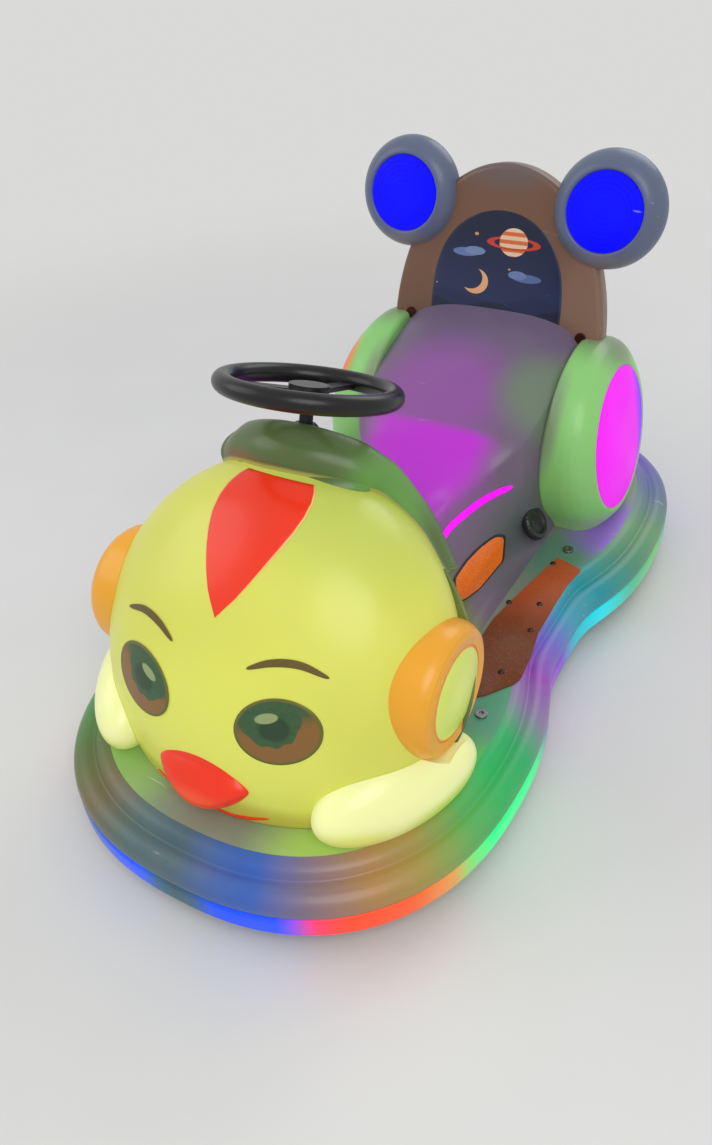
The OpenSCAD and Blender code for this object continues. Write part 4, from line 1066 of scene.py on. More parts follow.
class CAR_OT_cowl(Operator):
    """Cowl over the back of the head: rings of a leaned ellipsoid from its rounded front edge to the back,
    with a spine up the middle, the hood as a full pillow and its lip as a closed section carried along nine
    stations"""
    bl_idname = "car.cowl"
    bl_label = "Cowl and hood"

    def execute(self, context):
        s, h, c = context.scene.bumper_sizes, context.scene.head_sizes, context.scene.body_colours
        rx, ry, rz = 348 * MM, h.ry + 18 * MM, h.rz - 24 * MM
        front = h.cowl_front
        a = np.linspace(0, 2 * math.pi, 161)[None, :]

        def ring(depth, px, py, pz, shrink):
            share = np.sqrt(np.maximum(1 - (depth / py) ** 2, 0))
            return np.stack(np.broadcast_arrays((px * share - shrink) * np.cos(a), depth,
                                                (pz * share - shrink) * np.sin(a)), axis=-1)
        inner = ring(np.array([[front]]), h.rx, h.ry, h.rz, 3 * MM)
        ease = np.linspace(0, math.pi / 2, 6)[:, None]
        lip = ring(front + 5 * MM * (1 - np.cos(ease)), rx, ry, rz, 5 * MM * (1 - np.sin(ease)))
        back = ring(front + 5 * MM + (ry - front - 5 * MM) * np.sin(np.linspace(0, math.pi / 2, 60))[:, None],
                    rx, ry, rz, 0)
        shell = leaned(np.concatenate([inner, lip, back[1:]]), at(h.at), h.z, h.tilt)

        grow = 12 * MM
        x = np.array([-0.0905, -0.090, -0.088, -0.084, -0.06, -0.03, 0.0, 0.03, 0.06, 0.084, 0.088, 0.090,
                      0.0905])
        drop = np.array([14, 6, 2, 0, 0, 0, 0, 0, 0, 0, 2, 6, 14]) * MM
        b = np.linspace(-0.9, math.pi / 2 + 0.5, 80)[None, :]
        g = np.sqrt(1 - (x / (h.rx + grow)) ** 2)[:, None]
        py = (h.ry + grow - drop[:, None]) * g * np.cos(b)
        pz = (h.rz + grow - drop[:, None]) * g * np.sin(b)
        spine = leaned(np.stack(np.broadcast_arrays(x[:, None], py, pz), axis=-1), at(h.at), h.z, h.tilt)

        phi = np.linspace(-math.pi / 2, math.pi / 2, 60)[:, None]
        bow = np.sign(np.cos(a)) * np.abs(np.cos(a)) ** 0.94
        hx = 128 * MM * np.cos(phi) * bow
        hy = at(0.486) + 68 * MM * np.cos(phi) * np.sign(np.sin(a)) * np.abs(np.sin(a)) ** 0.94
        hood = np.stack(np.broadcast_arrays(hx, hy, h.hood_z - 42 * MM + 40 * MM * np.sin(phi)), axis=-1)

        station = np.concatenate([np.zeros(9), np.linspace(0, 8, 70)[1:-1], np.full(9, 8.0)])
        ends = np.concatenate([np.linspace(1, 0, 9), np.zeros(68), np.linspace(0, 1, 9)])
        table = np.column_stack([np.arange(9), np.array(LIP)])
        foot, width, rise = np.split(smooth_rows(table, station)[:, None] * MM, 3, axis=2)
        shrink = np.sqrt(1 - ends ** 2)[:, None, None]
        past = ends * np.where(station < 4, -16, 10) * MM
        turn = np.linspace(0, 2 * math.pi, 49)[None, :, None]
        over = np.sign(np.sin(turn)) * np.abs(np.sin(turn)) ** 0.75
        along = np.sign(np.cos(turn)) * np.abs(np.cos(turn)) ** 0.8
        thick = rise / np.linalg.norm(rise, axis=2, keepdims=True) * 7 * MM
        high = rise * np.maximum(over, 0) + thick * np.minimum(over, 0)
        lip_grid = foot + width / 2 + shrink * (high - width / 2 * along)
        lip_grid[..., 0] += past[:, None]
        lip_uv = np.stack(np.broadcast_arrays(turn[..., 0] / (2 * math.pi), station[:, None] / 8), axis=-1)

        def paint(tree, where):
            base = plain(c.cowl)(tree, where)
            # Painted light: the warm underglow at the hood's front, a greener pool beside the hood, and a
            # yellowish glow low on both sides
            return zoned(tree, where, base, [
                ((-0.10, -0.385, 0.595), (0.15, 0.07, 0.045), c.cowl_warm),
                ((0.16, -0.31, 0.58), (0.11, 0.10, 0.10), linear(100, 148, 72)),
                *both_sides(0.30, -0.25, 0.30, (0.14, 0.2, 0.2), linear(140, 140, 66))])

        def lip_paint(tree, where):
            uv = add(tree, "ShaderNodeUVMap", uv_map="surface").outputs["UV"]
            u = add(tree, "ShaderNodeSeparateXYZ", {"Vector": uv}).outputs["X"]
            # Painted light: a pale yellowish line along the lip's front, just above where it sits on the head
            return blend(tree, band(tree, u, 0.008, 0.03, invert=True), paint(tree, where),
                         linear(176, 168, 96))
        made = plastic("cowl_plastic", paint, glow=0.05, **SHELL)
        obj = piece("cowl_surface", [(shell,)], [made])
        kept_above(obj, (0, 0, s.deck_z), (0, 0, 1))
        placed(obj, "car", "cowl", "dash_cowl")
        obj = piece("cowl_spine", [(spine,)], [made], facing=(0, 1, 0.5))
        kept_above(obj, (0, 0, s.deck_z), (0, 0, 1))
        kept_above(obj, (0, at(0.470), 0), (0, 1, 0))
        placed(obj, "car", "cowl")
        placed(piece("hood_pillow", [(hood,)], [made]), "car", "cowl")
        lip_made = plastic("hood_lip_plastic", lip_paint, glow=0.05, **SHELL)
        placed(piece("hood_lip", [(lip_grid, 0, lip_uv)], [lip_made]), "car", "cowl")
        return {"FINISHED"}


class CAR_OT_column_boot(Operator):
    """Flange and ribbed boot round the steering column: a turned profile whose radius ripples with height"""
    bl_idname = "car.column_boot"
    bl_label = "Column boot"

    def execute(self, context):
        st, c = context.scene.steering_sizes, context.scene.body_colours
        made = plastic("boot_rubber", plain(c.black), rough=0.42, grain=500.0, dust=0.25, coat=0.1, bump=0.4)
        drop, low = -72 * MM, -112 * MM
        rows = [[34 * MM, low], [38 * MM, low + 6 * MM], [38 * MM, drop - 4 * MM], [35.5 * MM, drop],
                [31 * MM, drop + 1.5 * MM], [28 * MM, drop + 5 * MM], [25.5 * MM, drop + 6.5 * MM],
                [24.5 * MM, drop + 9.5 * MM], [21.5 * MM, drop + 11 * MM], [20.5 * MM, drop + 14 * MM],
                [17.5 * MM, drop + 16 * MM], [16.5 * MM, drop + 18 * MM], [11.2 * MM, drop + 18 * MM]]
        grid = leaned(turned(softened(rows, 1.2 * MM, 3), 72), at(st.at), st.z, st.rake)
        placed(piece("column_boot_surface", [(grid,)], [made], facing=(0, 0, 1)), "car", "black_plastic",
               "column_flange")
        return {"FINISHED"}


# Sections as [station, crown z, shoulder z, shoulder half, flank z, flank half, foot half], in mm
SEAT = [
    [430, 388, 360, 118, 215, 164, 213], [640, 390, 362, 122, 215, 166, 214],
    [850, 392, 364, 128, 215, 168, 215], [895, 408, 380, 150, 225, 174, 217],
    [940, 438, 405, 178, 240, 184, 218], [1010, 478, 440, 192, 260, 202, 218],
    [1110, 524, 480, 198, 270, 214, 218], [1200, 556, 508, 198, 270, 215, 218],
    [1262, 566, 512, 196, 270, 215, 218], [1330, 520, 470, 190, 260, 212, 217],
    [1395, 420, 370, 180, 240, 205, 215], [1445, 300, 262, 165, 210, 190, 208],
    [1478, 190, 178, 140, 168, 165, 185]]


def flank(y, z):
    """Half the seat's width at y and z: the toe, the side or the shoulder of the section there, read at
    that height."""
    s = bpy.context.scene.bumper_sizes
    rows = smooth_rows(SEAT, (y.ravel() + s.length / 2) / MM) * MM
    crown, shoulder, x, flank_z, w, foot = rows.T.reshape(6, *y.shape)
    toe = np.clip((z - s.deck_z) / (flank_z - s.deck_z), 0, 1) ** (1 / 1.5)
    t = np.clip((z - flank_z) / (shoulder - flank_z), 0, 1)
    a = np.arcsin(np.clip((z - shoulder) / (crown - shoulder), 0, 1) ** 0.8)
    side = w + (x - w) * t + 2.5 * MM * np.sin(math.pi * t)
    return np.where(z < flank_z, foot - (foot - w) * (1 - (1 - toe) ** 2.4),
                    np.where(z < shoulder, side, x * np.cos(a) ** 0.62))


# Outline of a reflector and middle line of a streak on the seat's flank, as (y, z) in mm
REFLECTOR_EDGE = [(-112, 208), (-100, 256), (-40, 256), (30, 254), (76, 252), (104, 236), (92, 182),
                  (30, 176), (-16, 176), (-70, 190)]
STREAK_LINE = [(-127, 333), (-60, 334), (14, 330), (80, 337), (127, 339)]


class CAR_OT_seat(Operator):
    """Saddle seat and tunnel: sections whose widths and heights follow smooth curves along the car. Each
    runs from the foot up the flank, over a superellipse shoulder to the crown and down the other side"""
    bl_idname = "car.seat"
    bl_label = "Seat and tunnel"

    def execute(self, context):
        s, c, q = context.scene.bumper_sizes, context.scene.body_colours, context.scene.seat_sizes
        along = np.concatenate([np.linspace(430, 850, 30)[:-1], np.linspace(850, 1478, 110)])
        crown, shoulder, x, flank_z, w, foot = (smooth_rows(SEAT, along) * MM).T[:, :, None]
        most = q.fender_in - 2 * MM
        x, w, foot = np.minimum(x, most), np.minimum(w, most), np.minimum(foot, most)
        t = np.linspace(0, 1, 9)[None, :]
        toe = np.linspace(0, 1, 8)[None, :]
        foot_x = foot - (foot - w) * (1 - (1 - toe) ** 2.4)
        foot_z = s.deck_z + (flank_z - s.deck_z) * toe ** 1.5
        side_x = w + (x - w) * t + 2.5 * MM * np.sin(math.pi * t)
        side_z = flank_z + (shoulder - flank_z) * t
        a = np.linspace(0, math.pi / 2, 26)[None, :]
        top_x = x * np.maximum(np.cos(a), 0) ** 0.62
        top_z = shoulder + (crown - shoulder) * np.sin(a) ** 1.25
        hx = np.concatenate([foot_x, side_x[:, 1:], top_x[:, 1:]], axis=1)
        hz = np.concatenate([foot_z, side_z[:, 1:], top_z[:, 1:]], axis=1)
        px = np.concatenate([hx, -hx[:, ::-1][:, 1:]], axis=1)
        pz = np.concatenate([hz, hz[:, ::-1][:, 1:]], axis=1)
        py = np.broadcast_to((along * MM - s.length / 2)[:, None], px.shape)
        body = np.stack([px, py, pz], axis=-1)
        k = np.cos(np.linspace(0, math.pi / 2, 8))[:, None, None]
        end = body[-1:]
        middle = np.array([0, end[0, 0, 1] + 6 * MM, s.deck_z + 10 * MM])
        tail = end * k + middle * (1 - k)
        tail[..., 1] = end[..., 1] + 6 * MM * np.sqrt(1 - k[..., 0] ** 2)
        front = body[:1] * np.array([1, 0, 1]) + np.array([0, body[0, 0, 1], 0])
        nose = front * k[::-1] + np.array([0, body[0, 0, 1], s.deck_z + 20 * MM]) * (1 - k[::-1])
        nose[..., 1] = body[0, 0, 1]

        def paint(tree, where):
            base = plain(c.seat)(tree, where)
            # Painted light and shade: coloured glow on the crown and on the flanks, and painted shade low on
            # the flanks beside the fenders
            base = zoned(tree, where, base, [
                ((0.0, 0.42, 0.52), (0.30, 0.26, 0.16), linear(108, 94, 120)),
                *both_sides(0.215, 0.10, 0.24, (0.10, 0.24, 0.14), linear(84, 90, 90)),
                *both_sides(0.165, -0.14, 0.20, 0.12, linear(118, 128, 66)),
                ((-0.02, 0.20, 0.47), 0.20, linear(142, 82, 154)),
                ((0.18, 0.27, 0.46), 0.13, linear(110, 126, 106))])
            part = add(tree, "ShaderNodeSeparateXYZ", {"Vector": where})
            lit = calc(tree, "MULTIPLY", band(tree, part.outputs["Y"], 0.126, 0.150, invert=True),
                       band(tree, part.outputs["Z"], 0.325, 0.385))
            off_middle = calc(tree, "ABSOLUTE", part.outputs["X"])
            lit = calc(tree, "MULTIPLY", lit, band(tree, off_middle, 0.09, 0.165, invert=True))
            return blend(tree, lit, base, c.seat_lit)
        made = plastic("seat_plastic", paint, rough=0.36, glow=0.07, grain=650.0, dust=0.25, scuff=0.6,
                       coat=0.1)
        placed(piece("seat_surface", [(nose,), (body,), (tail,)], [made]), "car", "seat_shell", "seat_body")
        return {"FINISHED"}


class CAR_OT_side_lights(Operator):
    """Light streaks and reflectors: outlines in side view, laid on the flank at the half width it has at each
    height"""
    bl_idname = "car.side_lights"
    bl_label = "Streaks and reflectors"

    def execute(self, context):
        c = context.scene.body_colours
        streak = plastic("streak_light", plain(c.lens), glow=0.6, dust=0.05, **LIT_LENS)

        def prisms(tree, where):
            cells = add(tree, "ShaderNodeTexVoronoi", {"Vector": where, "Scale": 210.0},
                        feature="DISTANCE_TO_EDGE")
            base = plain(c.reflector)(tree, where)
            return blend(tree, band(tree, cells.outputs["Distance"], 0.0, 0.12, invert=True), base,
                         linear(196, 82, 6))
        amber = plastic("reflector_prisms", prisms, glow=0.22, **PRINT)
        rim = plastic("reflector_rim", plain(linear(34, 30, 28)), rough=0.4, coat=0.1)
        middle = smooth_rows(STREAK_LINE, np.linspace(-127, 127, 90)) * MM
        y = np.linspace(-127, 127, 90)[:, None] * MM
        half = 7.5 * MM * (1 - (y / (127 * MM)) ** 12) ** 0.5
        v = np.linspace(-1, 1, 9)[None, :]
        y, z = np.broadcast_arrays(y, middle + half * v)
        strip = np.stack([flank(y, z) + 3 * MM - 1.5 * MM * v ** 4, y, z], axis=-1)
        edge = softened(REFLECTOR_EDGE, 12, 6, closed=True)[None] * MM
        centre = np.array([-4, 216]) * MM
        share = np.concatenate([np.linspace(0, 0.92, 16), np.linspace(0.935, 1, 5)])[:, None, None]
        flat = centre + (edge - centre) * share
        y, z = flat[..., 0], flat[..., 1]
        plate = np.stack([flank(y, z) + 3.5 * MM - 1.5 * MM * share[..., 0] ** 8, y, z], axis=-1)
        for name, grids, finishes, slot, node in (
                ("light_streak_bars", [(strip, 0)], [streak], "light_streak", "light_streaks"),
                ("reflector_plates", [(plate[:16], 0), (plate[15:], 1)], [amber, rim], "reflector",
                 "side_reflectors")):
            for side, label in ((1, "left"), (-1, "right")):
                obj = piece(f"{name}_{label}", [(g * [side, 1, 1], m) for g, m in grids], finishes,
                            facing=(side, 0, 0.2))
                placed(walled(obj, 4 * MM), "car", slot, *([node] if side == 1 else []))
        return {"FINISHED"}


class CAR_OT_side_caps(Operator):
    """Round caps low on the seat's flanks: a turned profile whose edge is scalloped by a cosine of its
    angle"""
    bl_idname = "car.side_caps"
    bl_label = "Side caps"

    def execute(self, context):
        q = context.scene.seat_sizes
        made = plastic("cap_plastic", plain(linear(38, 38, 42)), rough=0.36, grain=500.0, dust=0.3, coat=0.1)
        r = q.cap_r
        rows = [[0, 5.4 * MM], [r * 0.30, 5.4 * MM], [r * 0.34, 3.6 * MM], [r * 0.62, 3.6 * MM],
                [r * 0.66, 8.4 * MM], [r * 0.90, 8.4 * MM], [r, 3 * MM], [r, -7.5 * MM], [0, -7.5 * MM]]
        rows = softened(rows, 1.6 * MM, 4)
        grid = turned(rows, 144)
        a = np.linspace(0, 2 * math.pi, 145)[None, :]
        outer = np.clip((rows[:, 0:1] / r - 0.80) / 0.2, 0, 1)
        grid[..., :2] *= (1 - 0.028 * outer * (1 + np.cos(24 * a)) / 2)[..., None]
        turn = math.radians(58)
        cs, sn = math.cos(turn), math.sin(turn)
        x, y, z = np.moveaxis(grid, -1, 0)
        left = np.stack([0.206 + cs * x + sn * z, at(0.985) + y, 0.222 - sn * x + cs * z], axis=-1)
        obj = piece("side_cap_knobs", [(left,), (left * [-1, 1, 1],)], [made])
        placed(obj, "car", "black_plastic", "side_caps")
        return {"FINISHED"}


class CAR_OT_fenders(Operator):
    """Fender drums with their lenses: a profile turned about the side axis, spread where it nears the deck
    so that it flares into it, and cut at the deck"""
    bl_idname = "car.fenders"
    bl_label = "Fenders"

    def execute(self, context):
        s, q, c = context.scene.bumper_sizes, context.scene.seat_sizes, context.scene.body_colours
        t, r = q.fender_out - q.fender_in, q.fender_r
        y, z = at(q.fender_at), s.deck_z + 180 * MM
        rows = np.array([[0, -18 * MM], [r - 6 * MM, -18 * MM], [r, -12 * MM], [r, 0.34 * t],
                         [r - 4 * MM, 0.52 * t],
                         [r - 12 * MM, 0.68 * t], [r - 24 * MM, 0.82 * t], [r - 36 * MM, 0.92 * t],
                         [r - 45 * MM, 0.985 * t], [q.lens_r + 1.6 * MM, t - 0.4 * MM],
                         [q.lens_r + 0.6 * MM, t - 2 * MM],
                         [q.lens_r + 0.6 * MM, t - 13.5 * MM], [0, t - 13.5 * MM]])
        rows = softened(rows, 5 * MM, 5)
        grid = turned(rows, 200)
        outer = np.clip((rows[:, 0] - q.lens_r) / (r - q.lens_r), 0, 1)[:, None] ** 0.7

        def paint(side):
            def inside(tree, where):
                base = plain(c.fender)(tree, where)
                # Painted light and shade: a darker bluish cast at the rear, darker over the top and along the
                # inner face by the seat, lighter at the foot over the deck
                zones = [((side * 0.28, y + 0.19, z), (0.12, 0.08, 0.22), linear(96, 120, 150)),
                         ((side * 0.25, y + 0.07, z + 0.19), (0.11, 0.15, 0.08), linear(112, 138, 98)),
                         ((side * 0.205, y - 0.14, z + 0.08), (0.035, 0.14, 0.14), linear(126, 148, 112)),
                         ((side * 0.28, y - 0.08, s.deck_z), (0.14, 0.2, 0.08), linear(150, 196, 122))]
                # Painted light: an orange glow on the right fender's far edge
                if side < 0:
                    zones += [((-0.31, y - 0.12, z + 0.14), (0.06, 0.10, 0.10), c.fender_edge_glow)]
                return zoned(tree, where, base, zones)
            return inside

        def lens_paint(tree, where):
            y = add(tree, "ShaderNodeSeparateXYZ", {"Vector": where}).outputs["Y"]
            base = plain(c.lens)(tree, where)
            return blend(tree, band(tree, y, at(q.fender_at) + 0.04, at(q.fender_at) + 0.115), base,
                         c.lens_edge)
        dome = np.linspace(0, 1, 46)
        ripple = 0.2 * MM * np.cos(dome * 2 * math.pi * 12) * (dome < 0.93)
        lens_z = t + 0.3 * MM + 11 * MM * (1 - dome ** 2.4) + ripple
        lens_rows = np.stack([q.lens_r * dome, lens_z], axis=-1)
        lens_rows = np.vstack([lens_rows, [[q.lens_r, t - 13.2 * MM]], [[0, t - 13.2 * MM]]])
        lens = plastic("fender_lens_plastic", lens_paint, glow=0.5, dust=0.05, scuff=0.2, **LIT_LENS)

        def set_in(points, side, share):
            """Moves the lens and its seat forwards and up, and leans the outer face in: x falls with
            height."""
            points[..., 1] -= q.lens_forward * share
            points[..., 2] += q.lens_up * share
            deep = np.clip((side * points[..., 0] - q.fender_in) / t, 0, 1)
            points[..., 0] -= side * (points[..., 2] - z) * math.tan(q.fender_lean) * deep
        for side, name in ((1, "left"), (-1, "right")):
            drum = sideways(grid, side, q.fender_in, at(q.fender_at), z)
            set_in(drum, side, (1 - outer) * (rows[:, 1:2] > 0.3 * t))
            height = drum[..., 2] - s.deck_z
            flare = np.clip(1 - height / (48 * MM), 0, 1.6) ** 2.6 * 26 * MM * outer
            away = drum[..., 1] - at(q.fender_at)
            drum[..., 1] += np.sign(away) * flare * np.clip(np.abs(away) / (60 * MM), 0, 1)
            made = plastic(f"fender_{name}_plastic", paint(side), glow=0.12, **SHELL)
            obj = piece(f"fender_{name}_surface", [(drum,)], [made])
            kept_above(obj, (0, 0, s.deck_z), (0, 0, 1))
            placed(obj, "car", "fender", f"fender_{name}")
            face = sideways(turned(lens_rows, 120), side, q.fender_in, at(q.fender_at), z)
            set_in(face, side, 1.0)
            placed(piece(f"fender_{name}_lens", [(face,)], [lens], sharp=60), "car", "fender_lens",
                   f"fender_lens_{name}")
        return {"FINISHED"}


def arch(width, height, foot, steps=60):
    """Outline of the backrest from its right foot over the top to its left foot: the half width falls with
    height as the root of 1 - (height share) to the power 2.2."""
    v = np.sin(np.linspace(0, math.pi / 2, steps + 1))
    half = width * np.sqrt(np.maximum(1 - v ** 2.2, 0))
    x = np.concatenate([half, -half[::-1][1:]])
    return np.stack([x, foot + (height - foot) * np.concatenate([v, v[::-1][1:]])], axis=-1)


class CAR_OT_backrest(Operator):
    """Backrest: the arch's outline, drawn in towards its edge rows as the profile through its thickness
    rounds, with both faces filled to the middle line"""
    bl_idname = "car.backrest"
    bl_label = "Backrest"

    def execute(self, context):
        b, c = context.scene.back_sizes, context.scene.body_colours
        a = np.linspace(0, math.pi / 2, 7)
        r = 12 * MM
        edge = np.concatenate([np.stack([r * (1 - np.sin(a)), r * (1 - np.cos(a))], axis=-1),
                               np.stack([r * (1 - np.cos(a)), b.t - r * (1 - np.sin(a))], axis=-1)])
        rows = []
        for inset, depth in edge:
            line = arch(b.w / 2 - inset, b.h - inset, 0.006)
            rows.append(np.stack([line[:, 0], np.full(len(line), depth), line[:, 1]], axis=-1))
        rim = np.array(rows)
        fill = np.linspace(1, 0, 9)[:, None, None]

        def face(line):
            return line * np.concatenate([fill, fill * 0 + 1, fill * 0 + 1], axis=-1)
        front = face(rim[:1])
        back = face(rim[-1:])
        foot = np.stack([np.stack([np.linspace(-x, x, 9), np.full(9, y), np.full(9, z)], axis=-1)
                         for x, y, z in rim[:, 0]])

        def paint(tree, where):
            base = plain(c.backrest)(tree, where)
            # Painted light and shade: lighter on the left side, greyer at the top, darker low in the middle
            # over the seat
            return zoned(tree, where, base, [
                ((0.20, 0.43, 0.60), (0.10, 0.12, 0.16), linear(128, 98, 82)),
                ((0.0, 0.45, 0.84), (0.16, 0.1, 0.06), linear(104, 88, 86)),
                ((0.0, 0.43, 0.52), (0.24, 0.1, 0.08), linear(94, 68, 58))])
        made = plastic("backrest_plastic", paint, rough=0.34, glow=0.05, grain=650.0, dust=0.2, scuff=0.5,
                       coat=0.1)
        patches = [(leaned(g, at(b.at), b.z, b.lean),) for g in (front, rim, back, foot)]
        placed(piece("backrest_surface", patches, [made]), "car", "backrest", "backrest_shell")
        bolts = copied("backrest_bolt_heads", "backrest_bolts",
                       steel("back_bolt_steel", linear(74, 44, 36), 0.4))
        placed(bevelled(bolts, 0.8 * MM), "car", "fastener", "backrest_bolts")
        return {"FINISHED"}


class CAR_OT_print_panel(Operator):
    """Printed panel of the backrest, a small arch with its own map: a plain night sky with a ringed
    planet, a moon, stars, hills and clouds"""
    bl_idname = "car.print_panel"
    bl_label = "Backrest panel"

    def execute(self, context):
        b = context.scene.back_sizes
        w, h, foot = 150 * MM, 220 * MM, 62.3 * MM
        v = np.sin(np.linspace(0, math.pi / 2, 60))[:, None]
        across = np.linspace(-1, 1, 41)[None, :]
        half = w * np.sqrt(np.maximum(1 - v ** 2.9, 0))
        x, up = half * across, np.broadcast_to(foot + h * v, (60, 41))
        near = np.abs(across) ** 40
        grid = np.stack(np.broadcast_arrays(x, -0.9 * MM + 1.2 * MM * near, up), axis=-1)
        uv = np.stack([x / (2 * w) + 0.5, (up - foot) / h], axis=-1)
        obj = piece("panel_print", [(leaned(grid, at(b.at), b.z, b.lean), 0, uv)], [self.night()],
                    facing=(0, -1, 0.2))
        placed(walled(obj, 1.4 * MM), "car", "print_panel", "backrest_panel")
        return {"FINISHED"}

    def night(self):
        def paint(tree, where):
            uv = add(tree, "ShaderNodeUVMap", uv_map="surface").outputs["UV"]
            away, x, y = distances(tree, uv, 1.0, 0.0)
            sky = blend(tree, band(tree, y, 0.1, 0.95), linear(34, 46, 84), linear(16, 24, 54))
            stars = add(tree, "ShaderNodeTexVoronoi", {"Vector": uv, "Scale": 8.0, "Randomness": 0.9})
            sky = blend(tree, band(tree, stars.outputs["Distance"], 0.10, 0.13, invert=True), sky,
                        linear(214, 150, 96))
            ring = away(0.60, 0.72, 0.20, 0.060)
            behind = calc(tree, "MULTIPLY", band(tree, ring, 0.96, 1.0, invert=True),
                          band(tree, ring, 0.70, 0.74))
            sky = blend(tree, behind, sky, linear(196, 60, 38))
            globe = band(tree, away(0.60, 0.73, 0.105, 0.13), 0.96, 1.0, invert=True)
            belts = band(tree, calc(tree, "FRACT", calc(tree, "MULTIPLY", y, 14.0)), 0.45, 0.55)
            sky = blend(tree, globe, sky, blend(tree, belts, linear(214, 104, 58), linear(226, 196, 160)))
            ahead = calc(tree, "MULTIPLY", behind, band(tree, y, 0.715, 0.72, invert=True))
            sky = blend(tree, ahead, sky, linear(196, 60, 38))
            moon = calc(tree, "MULTIPLY", band(tree, away(0.34, 0.34, 0.10, 0.12), 0.96, 1.0, invert=True),
                        band(tree, away(0.30, 0.37, 0.095, 0.11), 0.96, 1.0))
            sky = blend(tree, moon, sky, linear(226, 168, 120))
            for cx, cy, rx, ry, tone in ((0.25, 0.60, 0.10, 0.04, (96, 118, 166)),
                                         (0.32, 0.62, 0.08, 0.04, (112, 132, 176)),
                                         (0.72, 0.42, 0.11, 0.04, (84, 104, 152)),
                                         (0.65, 0.44, 0.07, 0.04, (104, 124, 170))):
                sky = blend(tree, band(tree, away(cx, cy, rx, ry), 0.93, 1.0, invert=True), sky,
                            linear(*tone))
            for level, swing, pitch, shift, tone in ((0.20, 0.040, 9.0, 0.4, (30, 40, 78)),
                                                     (0.13, 0.035, 12.0, 2.0, (24, 30, 58)),
                                                     (0.06, 0.025, 16.0, 4.0, (44, 34, 50))):
                turn = calc(tree, "ADD", calc(tree, "MULTIPLY", x, pitch), shift)
                wave = calc(tree, "MULTIPLY", calc(tree, "SINE", turn), swing)
                line = calc(tree, "SUBTRACT", y, calc(tree, "ADD", wave, level))
                sky = blend(tree, band(tree, line, -0.004, 0.004, invert=True), sky, linear(*tone))
            return sky
        return plastic("night_sky_print", paint, rough=0.34, glow=0.02, grain=400.0, dust=0.15, scuff=0.4,
                       coat=0.15, bump=0.15)


class CAR_OT_ears(Operator):
    """Round ears on the backrest: a turned shell with a rolled rim round a lens of shallow rings"""
    bl_idname = "car.ears"
    bl_label = "Ears"

    def execute(self, context):
        b, c = context.scene.back_sizes, context.scene.body_colours
        r, l, t = b.ear_r, b.ear_lens, 82 * MM
        rows = [[0, -t], [r * 0.42, 3 * MM - t], [r * 0.72, 13 * MM - t], [r * 0.92, 29 * MM - t],
                [r, 45 * MM - t], [r * 0.975, -19 * MM], [r * 0.90, -4 * MM], [r * 0.80, 6 * MM],
                [r * 0.71, 10 * MM], [l + 1.2 * MM, 7 * MM], [l + 0.6 * MM, 0], [0, 0]]
        shell = turned(softened(rows, 9 * MM, 5), 120)
        dome = np.linspace(0, 1, 40)
        ripple = 0.15 * MM * np.cos(dome * 2 * math.pi * 8) * (dome < 0.92)
        lens_rows = np.stack([l * dome, 8 * MM + 4 * MM * (1 - dome ** 2.2) + ripple], axis=-1)
        lens_rows = np.vstack([lens_rows, [[l, 0.4 * MM]], [[0, 0.4 * MM]]])
        lens = turned(lens_rows, 96)

        def shell_paint(tree, where):
            base = plain(c.ear)(tree, where)
            # Painted light: the lens's blue glow spread over the shell round it, and a paler band along the
            # lower rim
            return zoned(tree, where, base, [
                *both_sides(b.ear_x, at(EARS) - 0.02, b.ear_z, (0.098, 0.2, 0.098), linear(70, 70, 148)),
                *both_sides(b.ear_x, at(EARS), b.ear_z - 0.11, (0.12, 0.2, 0.05), linear(116, 110, 120))])

        def lens_paint(tree, where):
            base = plain(c.ear_lens)(tree, where)
            return zoned(tree, where, base,
                         both_sides(b.ear_x, at(1.240), b.ear_z, (0.06, 0.2, 0.06), linear(4, 8, 255)))
        skin = plastic("ear_plastic", shell_paint, rough=0.34, glow=0.08, grain=500.0, dust=0.12, coat=0.12)
        glass = plastic("ear_lens_plastic", lens_paint, glow=0.6, dust=0.02, **LIT_LENS)
        turn = math.radians(80)
        cs, sn = math.cos(turn), math.sin(turn)

        def stand(grid, side):
            x, y, z = np.moveaxis(grid, -1, 0)
            return np.stack([side * (b.ear_x + x), at(EARS) + y * cs - z * sn, b.ear_z + y * sn + z * cs],
                            axis=-1)
        for side, name in ((1, "left"), (-1, "right")):
            placed(piece(f"ear_{name}_shell", [(stand(shell, side),)], [skin]), "car", "ear_shell",
                   f"ear_{name}")
            placed(piece(f"ear_{name}_glass", [(stand(lens, side),)], [glass], sharp=60), "car", "ear_lens",
                   f"ear_lens_{name}")
        return {"FINISHED"}


